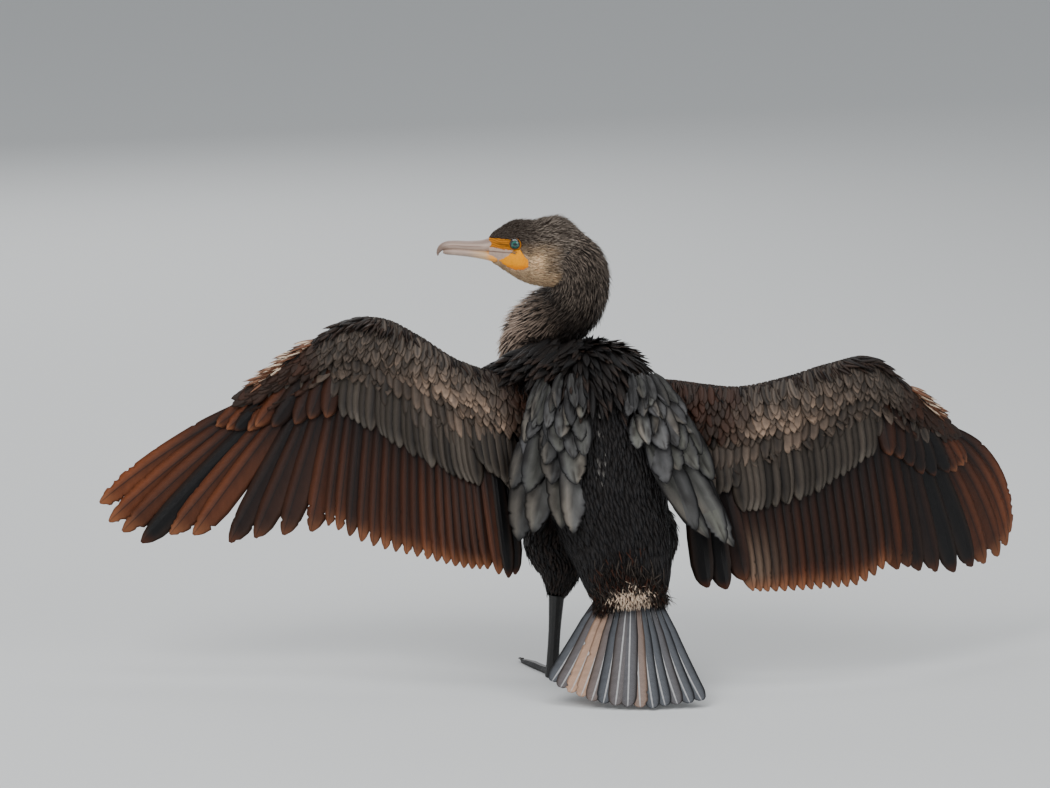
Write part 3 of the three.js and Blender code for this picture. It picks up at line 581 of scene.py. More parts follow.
def iris_material():
    """A green iris with a black pupil and rim, by the distance from its middle, under a clear cornea."""
    made = Shader("iris", 0.05)
    split = made.node("SeparateXYZ", Vector=made.node("NewGeometry").outputs["Position"])
    dx = made.math("SUBTRACT", split.outputs["X"], EYE_X * MM)
    dz = made.math("SUBTRACT", split.outputs["Z"], EYE_Z * MM)
    square = made.math("ADD", made.math("MULTIPLY", dx, dx), made.math("MULTIPLY", dz, dz))
    made.ramp(made.math("DIVIDE", made.math("SQRT", square), 7 * MM),
              [(0.2, (0.001, 0.006, 0.006)), (0.3, (0.003, 0.05, 0.042)), (0.5, (0.01, 0.13, 0.1)),
               (0.6, (0.006, 0.06, 0.045)), (0.68, (0.004, 0.006, 0.005))])
    made.main.inputs["Coat Weight"].default_value = 1.0
    return made.material


def leg_material():
    """Near black scaly skin."""
    made = Shader("leg_skin", 0.5)
    scales = made.node("TexVoronoi", Scale=330.0, Vector=made.place()).outputs["Distance"]
    made.ramp(scales, [(0, (0.009, 0.008, 0.0075)), (1, (0.0035, 0.0035, 0.0035))])
    made.relief(scales, 0.6, 0.0006)
    return made.material


def claw_material():
    made = Shader("claw", 0.3)
    grain = made.node("TexNoise", Scale=300.0, Vector=made.place())
    made.ramp(grain.outputs["Fac"], [(0, (0.008, 0.007, 0.006)), (1, (0.03, 0.026, 0.022))])
    return made.material


plumage = feather_material("plumage", 0.55, 1.1, 0.35)
flight_plumage = feather_material("flight_plumage", 0.45, 1.0, 0.5)


# Feathers

# The half width of each outline, at shares of its length
PROFILES = {
    "flight": ([0, 0.06, 0.14, 0.34, 0.62, 0.82, 0.92, 0.97, 1],
               [0.1, 0.28, 0.62, 0.9, 1, 0.96, 0.76, 0.48, 0.12]),
    "pointed": ([0, 0.06, 0.14, 0.34, 0.62, 0.82, 0.93, 0.98, 1],
                [0.1, 0.28, 0.62, 0.92, 1, 0.94, 0.68, 0.36, 0.1]),
    "tail": ([0, 0.1, 0.34, 0.7, 0.9, 0.97, 1], [0.35, 0.6, 0.9, 0.97, 0.94, 0.72, 0.3]),
    "covert": ([0, 0.2, 0.45, 0.7, 0.86, 0.95, 1], [0.25, 0.8, 1, 0.98, 0.78, 0.46, 0.1]),
    "blade": ([0, 0.2, 0.45, 0.7, 0.86, 0.95, 1], [0.3, 0.85, 1, 0.9, 0.64, 0.36, 0.06]),
    "lance": ([0, 0.2, 0.45, 0.7, 0.88, 1], [0.4, 0.95, 1, 0.72, 0.36, 0.04]),
    "tuft": ([0, 0.3, 0.7, 1], [0.5, 1, 0.7, 0.05]),
}

# Columns across a vane, from its inner rim to its outer one
RACHIS = (-1, -0.7, -0.35, -0.08, 0, 0.08, 0.45, 1)
WIDE = (-1, -0.5, -0.08, 0, 0.08, 0.5, 1)
LONG = (-1, -0.75, -0.45, -0.1, 0, 0.1, 0.45, 0.75, 1)
TAIL = (-1, -0.66, -0.33, -0.11, -0.06, 0, 0.06, 0.11, 0.33, 0.66, 1)
BROAD = (-1, -0.5, 0, 0.5, 1)
THIN = (-1, 0, 1)

# How each kind of feather is drawn. The underside has the inner columns of the upper face, unless under gives
# its own. Shaft is how far the shaft stands up at the root, and fray how torn the rims of a worn feather are.
# A feather with a full underside has an OFBake cell of its own, and any other a patch at its root's place.
Style = namedtuple("Style", "profile stations columns under thick shaft fray seed material slot")
STYLES = {
    "primaries": Style("flight", 72, RACHIS, None, 0.6, 0.9, 0.4, 11, flight_plumage, "wing_feathers"),
    "secondaries": Style("pointed", 60, RACHIS, None, 0.6, 0.8, 0.2, 12, flight_plumage, "wing_feathers"),
    "tertials": Style("flight", 48, RACHIS, None, 0.6, 0.8, 0.08, 13, flight_plumage, "wing_feathers"),
    "greater_coverts": Style("covert", 24, WIDE, None, 0.5, 0.5, 0.04, 24, flight_plumage, "wing_feathers"),
    "primary_coverts": Style("covert", 28, WIDE, None, 0.5, 0.6, 0.12, 26, flight_plumage, "wing_feathers"),
    "median_coverts": Style("covert", 12, BROAD, None, 0.5, 0.3, 0.1, 25, plumage, "wing_feathers"),
    "small_coverts": Style("blade", 9, BROAD, (0,), 0.4, 0.25, 0.22, 51, plumage, "wing_feathers"),
    "edge_tufts": Style("tuft", 5, THIN, (), 0.35, 0.0, 0.2, 56, plumage, "wing_feathers"),
    "scapulars": Style("blade", 36, LONG, None, 0.5, 0.7, 0.6, 71, flight_plumage, "body_plumage"),
    "mantle": Style("lance", 12, BROAD, (0,), 0.4, 0.4, 0.25, 72, flight_plumage, "body_plumage"),
    "torso_feathers": Style("tuft", 2, THIN, (), 0.35, 0.0, 0.0, 81, plumage, "body_plumage"),
    "rump_down": Style("tuft", 4, THIN, (), 0.3, 0.0, 0.2, 82, plumage, "body_plumage"),
    "thigh_feathers": Style("covert", 4, THIN, (), 0.4, 0.0, 0.0, 86, plumage, "body_plumage"),
    "neck_feathers": Style("tuft", 2, THIN, (), 0.3, 0.0, 0.0, 91, plumage, "neck_plumage"),
    "head_feathers": Style("tuft", 2, THIN, (), 0.3, 0.0, 0.0, 101, plumage, "neck_plumage"),
}

# Size of a small feather's patch in the OFBake map, and the slant of the barbs
PATCH, BARB_SLANT = 0.003, 1.1

# Where the flight feathers spring, as a share of the wing's chord
REAR = 0.97

# Length and width of the small feathers, before each one's own size
SIZES = {
    "small_coverts": (33, 12.5),
    "torso_feathers": (17, 6.6),
    "front_end": (14, 6.6),
    "rump_down": (15, 1.6),
    "thigh_feathers": (15, 5),
    "neck_feathers": (12.5, 2.4),
    "head_feathers": (8.5, 1.7),
}

# Distance between the feathers of a row on the torso, the thighs and the mantle, and at both ends of the neck
TORSO_SPACING, THIGH_SPACING, MANTLE_SPACING, NECK_SPACING = 4.3, 4.2, 4.4, [2.9, 2.35]


def batch(root, along, up, length, width, uv=None, **more):
    """Feathers as arrays, one row each. Sweep, bow and bend are shares of the length, cup of the width."""
    n = len(root)
    values = {"side": 1, "outer": 0.5, "tilt": 0, "sweep": 0, "bow": 0, "bend": 0, "cup": 0, **more,
              "length": length, "width": width}
    rows = {key: np.broadcast_to(np.asarray(value, float), (n,)).copy() for key, value in values.items()}
    rows["root"] = np.asarray(root, float)
    rows["along"], rows["up"] = unit(np.asarray(along, float)), unit(np.asarray(up, float))
    rows["uv"] = np.zeros((n, 2)) if uv is None else np.asarray(uv, float)
    return rows


def merged(batches):
    return {key: np.concatenate([b[key] for b in batches]) for key in batches[0]}


def ring_of(columns, under=None):
    """The columns round a vane, over the upper face and back under it, and the face that each is on."""
    below = columns[1:-1][::-1] if under is None else under
    face = np.concatenate([np.ones(len(columns)), -np.ones(len(below))])
    face[[0, len(columns) - 1]] = 0
    return np.array(columns + below, float), face


def vanes(name, kind, b, color, wear=1.0):
    """Joins one closed vane for each row of a batch into one piece, with its colours and its OFBake map."""
    style = STYLES[kind]
    rng = np.random.default_rng(style.seed)
    n, rings = len(b["root"]), style.stations + 1
    s = np.linspace(0, 1, rings) ** 0.85
    ring_x, face = ring_of(style.columns, style.under)
    count = len(ring_x)
    of = {key: b[key][:, None, None] for key in b if b[key].ndim == 1}
    half = np.interp(s, *PROFILES[style.profile])[None, :, None]
    worn = np.ones((n, rings, 2))
    fray = style.fray * wear
    if np.any(fray):
        ragged = np.broadcast_to(fray, n)[:, None, None] * rng.uniform(0.4, 1.4, (n, 1, 1))
        late = step(0.72, 1, s)[None, :, None]
        cut = rng.random((n, rings, 2)) < ragged * (0.12 + 1.6 * late)
        worn -= cut * rng.uniform(0.04, 0.16 + 0.2 * late, (n, rings, 2))
        worn[:, :2] = 1
    across = unit(np.cross(b["along"], b["up"])) * b["side"][:, None]
    normal = unit(b["up"] - b["along"] * (b["up"] * b["along"]).sum(-1, keepdims=True))
    L, W = of["length"], of["width"]
    S, X = s[None, :, None], ring_x[None, None, :]
    edge = np.where(X > 0, of["outer"] * worn[:, :, 0:1], (1 - of["outer"]) * worn[:, :, 1:2])
    offset = X * W * half * edge
    body = style.thick / 2 * (1 - np.abs(X) ** 3) * np.interp(S, [0, 0.9, 1], [1, 1, 0.4])
    spine = style.shaft * (1 - S) * np.clip(1 - np.abs(X) / 0.09, 0, 1)
    height = (face[None, None, :] * (body + spine) + of["tilt"] * offset - of["bend"] * L * S ** 2
              - of["cup"] * W * (X ** 2) * half)
    side_way = offset + of["sweep"] * L * S ** 2 + of["bow"] * L * 4 * S * (1 - S)
    root, along, across_way, up = (way[:, None, None, :] for way in (b["root"], b["along"], across, normal))
    points = (root + along * (L * S)[..., None] + across_way * side_way[..., None] + up * height[..., None])
    # The ring's order turns with the side, so the faces of mirrored vanes are turned round
    handed = np.sum(np.cross(b["along"], across) * normal, -1) > 0
    faces = vane_triangles(rings, count)[None] + (np.arange(n) * rings * count)[:, None, None]
    faces[~handed] = faces[~handed][:, :, ::-1]
    obj = mesh_object(name, points.reshape(-1, 3), faces.reshape(-1, 3))
    shape = (n, rings, count)
    grid_s, grid_x = np.broadcast_to(S, shape), np.broadcast_to(X, shape)
    shades = np.broadcast_to(color(grid_s, grid_x, rng, face[None, None, :]), shape + (3,))
    set_color(obj, np.clip(shades, 0, 1).reshape(-1, 3))
    random = np.broadcast_to(rng.random((n, 1, 1)), shape)
    barb = [np.broadcast_to(offset, shape), L * grid_s - BARB_SLANT * np.abs(offset), random]
    set_barb(obj, np.stack(barb, -1).reshape(-1, 3))
    if style.under is None:
        cells = math.ceil(math.sqrt(n))
        cell_x, cell_y = np.arange(n)[:, None, None] % cells, np.arange(n)[:, None, None] // cells
        u = (cell_x + 0.5 + grid_x * 0.22) / cells
        v = (cell_y + 0.05 + grid_s * 0.9) / cells
    else:
        u = b["uv"][:, 0, None, None] + grid_x * PATCH / 2
        v = b["uv"][:, 1, None, None] + (grid_s - 0.5) * PATCH
    set_uv(obj, np.stack([u, v], -1).reshape(-1, 2))
    return dressed(obj, style.material)


def each(rng, s):
    """One random share for each feather."""
    return rng.random((len(s), 1, 1))


def per(values):
    """A value for each feather, spread over its vane."""
    return values[:, None, None]


# Skin and face

def skin_color(points):
    """Dark under the feathers, and cream under the cheeks."""
    x, _, z = points.T
    on_head = step(15, -5, x) * step(425, 440, z)
    cheek = on_head * step(-2, -18, x) * step(500, 488, z) * step(440, 452, z)
    return col(BLACK_BROWN, CREAM * 0.7, cheek * 0.9)


def head_rings(first, final, along, around, lift_at):
    """Rings round the head between two places along it."""
    x, turn = grid(np.linspace(first, final, along), full_turn(around))
    points, _ = head_point(x.ravel(), turn.ravel(), lift_at(x.ravel()))
    return points.reshape(along, around, 3)


def wing_rings(wing, along, around):
    """Rings round a wing, a little inside the solids."""
    chord = 0.5 - 0.5 * np.cos(full_turn(around))
    over = 0.86 * np.sign(np.sin(full_turn(around)) + 1e-9)
    stations = [np.full(around, t) for t in np.linspace(0, TIP, along)]
    return np.array([on_wing(wing, t, 0.02 + chord * 0.96, wing_skin(t, chord) * over) for t in stations])


def build_skin():
    """One skin over the torso, neck, head, wings and thighs, remeshed from the same tubes as the solids."""
    head_lift = lambda x: -np.interp(x, [-46, -30], [2.8, 2.2])
    bodies = [tube_rings(TORSO, 40, 48, -COAT), tube_rings(NECK, 40, 40, -COAT),
              head_rings(HEAD[0][0], HEAD[-1][0] + 0.5, 41, 48, head_lift)]
    bodies += [wing_rings(wing, 50, 20) for wing in WINGS.values()]
    bodies += [tube_rings(thigh, 20, 24, -THIGH_COAT) for thigh in THIGHS.values()]
    parts = [loft("part", rings) for rings in bodies]
    for other in bpy.context.view_layer.objects:
        other.select_set(other in parts)
    bpy.context.view_layer.objects.active = parts[0]
    bpy.ops.object.join()
    skin = bpy.context.view_layer.objects.active
    skin.name = "skin"
    remesh = skin.modifiers.new("remesh", "REMESH")
    remesh.mode = "VOXEL"
    remesh.voxel_size = 2.2 * MM
    remesh.use_smooth_shade = True
    smooth = skin.modifiers.new("smooth", "SMOOTH")
    smooth.iterations = 6
    smooth.factor = 0.5
    for modifier in ("remesh", "smooth"):
        bpy.ops.object.modifier_apply(modifier=modifier)
    skin.select_set(False)
    set_color(skin, skin_color(points_of(skin)))
    dressed(skin, skin_material("body_skin", 0.6, 400, 0.4, 0.4))
    flesh = ["torso", "neck_lower", "neck_upper", "head", "tail", "thigh_left", "thigh_right"]
    flesh += [f"wing_{side}_{part}" for side in WINGS for part in ("arm", "forearm", "hand")]
    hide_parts(*flesh)


def build_face():
    """The bare skin of the face, as a finer head over the front of the skin, with its parts' colours."""
    lift = lambda x: -1.2 - 3 * step(-35, -30, x)
    face = loft("face", head_rings(-30, HEAD[-1][0] - 0.2, 110, 200, lift))
    x, _, z = points_of(face).T
    rng = np.random.default_rng(105)
    blur_x, blur_z = rng.normal(0, 0.35, (2, len(x)))
    within = lambda outline: inside(outline, x + blur_x, z + blur_z)
    shade = col(DARK_BROWN, CREAM * 0.7, step(490, 480, z))
    lines = 0.5 + 0.5 * np.sin((z + 0.1 * x) * 2.6 + 2 * np.sin(x * 0.35))
    shade = col(shade, col(ORANGE * 0.8, mix(ORANGE, DARK_BROWN, 0.7), lines), within(LORES))
    shade = col(shade, HORN * 1.05, within(JAW))
    deep = col(YELLOW, ORANGE * (1, 0.8, 0.5), step(474, 467, z) * 0.8 + 0.3 * step(-46, -36, x))
    shade = np.where(within(GULAR)[:, None], deep, shade)
    # A dark streak runs from the eye towards the bill, and a brown line along the mouth
    streak = bump(z, mix(496.5, 494.5, step(-78, -56, x)), 1.3) * step(-76, -66, x) * step(-52, -57, x)
    shade = col(shade, BLACK_BROWN * 2, streak * 0.6)
    mouth = bump(z, np.interp(x, [-82, -48], [486.5, 486.0]), 0.7) * step(-48, -54, x)
    shade = col(shade, DARK_BROWN * 2, mouth * 0.8)
    ring = np.hypot(x - EYE_X, z - EYE_Z)
    shade = col(shade, mix(ORANGE, DARK_BROWN, 0.55), step(EYE_BARE + 0.6, EYE_BARE - 0.6, ring))
    set_color(face, shade)
    dressed(face, skin_material("face_skin", 0.6, 900, 0.35, 0.1))


def bill_rings(stations, steps, sides, groove=0.0):
    """Rings along half of the bill, drawn in along a groove on each side of its ridge."""
    data = np.array(stations, float)
    at = np.stack([data[:, 0], np.full(len(data), HEAD_Y), data[:, 1]], -1)
    places = grid(np.linspace(0, len(data) - 1, steps + 1), full_turn(sides))
    t, turn = (values.ravel() for values in places)
    _, right, up = tube_frame({"at": at, "hint": Y_AXIS}, t)
    up = up * np.where(up[:, 2:3] < 0, -1, 1)
    cut = bump(np.sin(turn), 0.42, 0.12) * step(0.2, 0.8, t) * step(5.2, 3.8, t) * (np.sin(turn) > 0)
    scale = 1 - groove * cut
    wide, deep = through(data[:, 2], t) * scale, through(data[:, 3], t) * scale
    points = through(at, t) + right * (wide * np.cos(turn))[:, None] + up * (deep * np.sin(turn))[:, None]
    return points.reshape(steps + 1, sides, 3)


def upper_bill_color(x, z):
    """Pale horn with a dark ridge, a dark stripe along each side and a dark hook."""
    rise = z - np.interp(-x, [-ring[0] for ring in BILL_UPPER[:5]], [ring[1] for ring in BILL_UPPER[:5]])
    shade = col(HORN, HORN_DARK, step(1.5, 4.2, rise) * 0.75)
    stripe = bump(rise, 0.2, 0.9) * step(-84, -92, x) * step(-132, -122, x)
    shade = col(shade, HORN_DARK * 1.3, stripe * 0.7)
    return col(shade, HORN_DARK, step(-124, -134, x) * 0.75)


def lower_bill_color(x, z):
    """Pale horn that turns yellow at the root and dark at the tip."""
    shade = col(HORN, HORN_WARM, step(-108, -84, x))
    shade = col(shade, YELLOW, step(-86, -76, x) * 0.8)
    return col(shade, HORN_DARK * 1.3, step(-120, -131, x) * 0.5)


def build_bill():
    horn = horn_material()
    halves = {"upper": (bill_rings(BILL_UPPER, 84, 48, 0.1), upper_bill_color),
              "lower": (bill_rings(BILL_LOWER, 60, 40), lower_bill_color)}
    pieces = {half: loft(f"bill_horn_{half}", rings) for half, (rings, _) in halves.items()}
    for half, obj in pieces.items():
        x, _, z = points_of(obj).T
        set_color(obj, halves[half][1](x, z))
        dressed(obj, horn)
        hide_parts(f"bill_{half}")


def build_eyes():
    """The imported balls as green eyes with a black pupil, each inside a dark beaded ring of bare skin."""
    iris = iris_material()
    for name in ("eye_left", "eye_right"):
        eye = frame["nodes"][name]
        eye.data.materials.clear()
        eye.data.materials.append(iris)
        smoothed(eye)
    round_eye, round_tube = 48, 10
    turn, tube = grid(full_turn(round_eye), full_turn(round_tube))
    ring = through(HEAD, head_station(EYE_X))
    rise = (2 * EYE_Z - ring[1] - ring[2]) / (ring[1] - ring[2])
    skin = float(ring[3]) * math.sqrt(1 - rise * rise)
    thick = LID_THICK * (1 + 0.12 * np.sin(turn * 16))
    radius = LID_RADIUS + thick * np.cos(tube)
    # The ring follows the cheek, which draws in towards the crown
    lean = -0.225 * np.sin(turn) * LID_RADIUS
    out = skin - 0.6 + lean + thick * np.sin(tube)
    r, c = grid(np.arange(round_eye), np.arange(round_tube))
    here, after = r * round_tube, (r + 1) % round_eye * round_tube
    beside = (c + 1) % round_tube
    face = np.stack([here + c, here + beside, after + beside, after + c], -1).reshape(-1, 4)
    x, z = EYE_X + radius * np.cos(turn), EYE_Z + radius * np.sin(turn) * 0.92
    points = [np.stack([x, HEAD_Y + side * out, z], -1).reshape(-1, 3) for side in (-1, 1)]
    lids = mesh_object("lids", np.concatenate(points),
                       np.concatenate([face, (face + round_eye * round_tube)[:, ::-1]]))
    set_color(lids, mix(ORANGE * 0.12, BLACK_BROWN, 0.5))
    dressed(lids, skin_material("lid_skin", 0.45, 700, 0.3, 0.4))


# Wings

def flight_row(wing, kind, start, stop, width, bend, sunk=9.0):
    """Flight feathers with their roots along the rear edge."""
    row = wing[kind]
    s = np.linspace(0, 1, len(row["new"]))
    t = mix(start, stop, s)
    along = hanging(share(row["swing"], s), share(row["reach"], s))
    up = wing_up(wing, t)
    length = share(row["length"], s) + sunk
    root = on_wing(wing, t, REAR) - along * sunk
    return batch(root, along, up, length, width, side=outer_side(wing, along, up), outer=0.36, tilt=0.15,
                 bend=bend / length, bow=share(row.get("bow", [0, 0]), s))


def outer_side(wing, along, up):
    """Which side of each feather faces the wing's tip."""
    across = np.cross(along, up)
    return np.sign(across[:, 0] * wing["side"] - across[:, 2] * 0.3)


def covert_row(wing, row, seed, start, stop, count, chord, length, width, height, first=0.0, last=1.0,
               tilt=0.15, wobble=3.0, spread=0.05):
    """Coverts that lie like a share of a row of flight feathers, with tips at a height over its plane."""
    rng = np.random.default_rng(seed)
    s = np.linspace(0, 1, count)
    t = mix(start, stop, s) + rng.normal(0, 0.012, count)
    r = mix(first, last, s)
    along = hanging(share(row["swing"], r) + rng.normal(0, wobble, count), share(row["reach"], r))
    up = wing_up(wing, t)
    c = share(chord, s)
    root = on_wing(wing, t, c, wing_skin(t, c) - 2.0)
    full = share(length, s) * rng.uniform(1 - spread, 1 + spread, count)
    normal = unit(up - along * (up * along).sum(-1, keepdims=True))
    drop = height - ((root + along * full[:, None] - on_wing(wing, t, REAR)) * normal).sum(-1)
    aim = unit(along + normal * (drop / full)[:, None])
    return batch(root, aim, up, full, share(width, s), side=outer_side(wing, along, up), outer=0.45,
                 tilt=tilt, cup=0.05)


def flight_color(new, pale_inner=0.0, low=0.62, tone=1.0):
    """Rufous where old, black-brown where new, and darker along the shaft, the inner vane and the root."""

    def color(s, x, rng, face):
        rufous = col(RUFOUS * 0.5, RUFOUS * 1.15, each(rng, s) * step(0.3, 1.0, s))
        rufous = rufous * mix(tone, 1, step(0.8, 1, s))[..., None]
        inner = pale_inner * step(0.6, 1.0, per(np.arange(len(s))) / len(s))
        rufous = col(rufous, BUFF, inner * 0.45 * step(0.5, 0.9, s))
        old = col(rufous, BLACK_BROWN, 0.9 * bump(x, 0, 0.42) * (1 - 0.45 * s))
        old = col(old, BLACK_BROWN, 0.75 * step(0.0, 1.0, -x) * (1 - 0.4 * s))
        old = col(old, RUFOUS_PALE, step(0.88, 1, s) * 0.6)
        fresh = col(BLACK, DARK_BROWN * 1.5, 0.55 * step(0.4, 1, np.abs(x)))
        fresh = col(fresh, RUFOUS * 0.6, 0.5 * step(0.93, 1, s))
        out = col(old, fresh, np.clip(per(new) * 1.1, 0, 1))
        out = col(out, BLACK, step(low, low * 0.3, s) * 0.82)
        return col(out, BLACK, (np.abs(x) < 0.05) * (face >= 0) * 0.75)

    return color


def covert_color(base, edge, amount, pale=None):
    """A dark vane with a paler, glossy edge. Pale gives each feather's share of the tan of worn tips."""

    def color(s, x, rng, face):
        n = len(s)
        tone = np.clip(rng.normal(1, 0.3, (n, 1, 1)), 0.4, 1.8)
        rim = np.maximum(step(0.6, 0.95, np.abs(x)) * step(0.2, 0.6, s), step(0.8, 0.97, s))
        centre = col(base, BLACK, 0.75 * bump(x, 0, 0.35))
        share_of = amount * rng.uniform(0.35, 1.0, (n, 1, 1))
        if pale is not None:
            worn = np.clip(per(pale) * rng.uniform(0.1, 1.3, (n, 1, 1)), 0, 1)
            centre = col(centre, TAN, worn * 0.55 * step(0.25, 0.8, s) * step(1.0, 0.7, np.abs(x)))
            share_of = np.maximum(share_of * 0.5, worn)
        return col(centre, edge, rim * share_of) * tone[..., None]

    return color


def worn_share(wing, t, chord):
    """How tan the small feathers are: most on the inner forearm, hardly at all near body and hand."""
    return bump(t, *wing["worn"]) * step(0.04, 0.34, chord) * step(0.85, 0.55, chord)


def lie_of_feathers(wing, t):
    """The way the feathers over the arm and hand hang at t."""
    s = np.clip((WRIST - t) / (WRIST - ELBOW), 0, 1)
    out = np.clip((t - WRIST) / (TIP - WRIST), 0, 1)
    inner, outer = (hanging(share(wing[row]["swing"], at), share(wing[row]["reach"], at))
                    for row, at in (("secondaries", s), ("primaries", out)))
    return mix(inner, outer, step(WRIST - 0.6, WRIST + 0.8, t)[:, None])


def build_wing(name, wing):
    """The flight feathers, the rows of coverts over them, the small coverts and the leading edge's down."""
    for kind, start, stop, width, bend, tone in (
            ("primaries", WRIST + 0.1, TIP - 0.04, 30, 10, 1.35),
            ("secondaries", WRIST - 0.05, ELBOW + 0.16, 22.5, 7, wing["secondaries"]["tone"]),
            ("tertials", wing["tertial_start"], 2.1, wing["tertial_width"], 4, 1.0)):
        new = np.array(wing[kind]["new"])
        pale_inner = kind == "secondaries" and wing["side"] > 0
        vanes(f"{kind}_{name}", kind, flight_row(wing, kind, start, stop, width, bend),
              flight_color(new, pale_inner, tone=tone), 1.0 if kind == "tertials" else 1 - new)
    build_large_coverts(name, wing)
    build_median_coverts(name, wing)
    build_small_coverts(name, wing)
    build_edge_tufts(name, wing)


def build_large_coverts(name, wing):
    """An even band over the secondaries, a few over the tertials, and a row over the primaries."""
    greater = covert_row(wing, wing["secondaries"], 22, WRIST - 0.12, ELBOW + 0.1, count=21,
                         chord=[0.72, 0.74], length=[84, 95, 97, 92], width=[21, 22], height=4.2, tilt=0.26,
                         wobble=0.8, spread=0.025)
    humeral = covert_row(wing, wing["tertials"], 23, ELBOW - 0.1, 1.85, count=6,
                         chord=[0.72, 0.7], length=[66, 76], width=[22, 24], height=5.5)
    vanes(f"greater_coverts_{name}", "greater_coverts", merged([greater, humeral]),
          covert_color(mix(DARK_BROWN, OLIVE, 0.35) * 1.15, mix(OLIVE, HEAD_BROWN, 0.6) * 1.05, 0.8))
    primary = covert_row(wing, wing["primaries"], 21, WRIST + 0.22, TIP - 0.3, count=9,
                         chord=[0.7, 0.6], length=[84, 92, 96, 74], width=[27, 21], height=4.4, first=0.03,
                         last=0.96, tilt=0.24, wobble=1.2, spread=0.04)
    new = np.array(wing["primaries"]["new"][:9])
    vanes(f"primary_coverts_{name}", "primary_coverts", primary,
          flight_color(np.clip(new * 0.9 + 0.1, 0, 1), low=0.3))


def build_median_coverts(name, wing):
    """Three rows over the forearm and three over the hand, each above the last and shorter."""
    rows, pale = [], []
    start, stop = WRIST - 0.1, ELBOW - 0.9
    for k, (chord, length, height) in enumerate([(0.56, 72, 5.5), (0.44, 60, 7.5), (0.33, 48, 9)]):
        on_arm, on_hand, width = 17 + 2 * k, 8 + k, 20 - 2 * k
        rows.append(covert_row(wing, wing["secondaries"], 30 + k, start, stop, on_arm, [chord, chord - 0.04],
                               [length * 0.72, length, length * 1.1], [width, width + 1], height,
                               tilt=0.2, wobble=2.5))
        pale.append(worn_share(wing, np.linspace(start, stop, on_arm), 0.8 - 0.15 * k))
        rows.append(covert_row(wing, wing["primaries"], 40 + k, WRIST + 0.1, TIP - 0.5, on_hand,
                               [chord, chord - 0.05], [length * 0.95, length * 0.7], [width, width - 4],
                               height * 0.7, last=0.9, tilt=0.18))
        pale.append(np.zeros(on_hand))
    vanes(f"median_coverts_{name}", "median_coverts", merged(rows),
          covert_color(HEAD_BROWN * 0.55, TAN * 0.8, 0.3, np.concatenate(pale) * 0.7))


def build_small_coverts(name, wing):
    """Rows of small feathers over both faces of the arm and hand, up to the leading edge."""
    rng = np.random.default_rng(50)
    rows, pale = [], []
    count, (length, width) = 66, SIZES["small_coverts"]
    for face, chords in ((1, np.linspace(0.46, -0.02, 8)), (-1, np.linspace(0.92, -0.02, 11))):
        for k, chord in enumerate(chords):
            t = np.linspace(0.4, TIP - 0.1, count) + rng.normal(0, 0.03, count) + (k % 2) * 0.08
            c = np.clip(chord + rng.normal(0, 0.014, count), 0.0, 1)
            up = wing_up(wing, t) * face
            along = unit(lie_of_feathers(wing, t) + rng.normal(0, 0.1, (count, 3)))
            root = on_wing(wing, t, c, (wing_skin(t, c) + 0.2) * face)
            normal = unit(up - chord_line(wing, t) * ((1 - 2 * c)[:, None] * 0.5))
            along = unit(along - normal * (along * normal).sum(-1, keepdims=True) + normal * 0.1)
            size = mix(0.7, 1.0, step(0, 0.35, c)) * rng.uniform(0.85, 1.2, count)
            uv = np.stack([t / TIP, (0.25 + face * 0.2) * c + (0.5 if face > 0 else 0)], -1)
            side = rng.choice([-1, 1], count)
            rows.append(batch(root, along, normal, length * size, width * size, uv, side=side, tilt=0.04,
                              sweep=rng.normal(0, 0.05, count), bend=0.09, cup=0.05))
            pale.append(worn_share(wing, t, c) if face > 0 else 0.2 * np.ones(count))
    b = merged(rows)
    base = covert_color(HEAD_BROWN * 0.75, TAN * 1.1, 0.3, np.concatenate(pale))
    at = b["uv"][:, 0] * TIP
    near_body = per(np.maximum(step(*wing["reddish"], at), step(WRIST + 0.5, WRIST + 1.2, at)))

    def color(s, x, r, face):
        reddish = near_body * 0.55 * each(r, s)
        out = col(base(s, x, r, face), DARK_BROWN * 0.5, 0.88 * near_body)
        return col(out, RUFOUS * 0.3, reddish)

    vanes(f"small_coverts_{name}", "small_coverts", b, color)


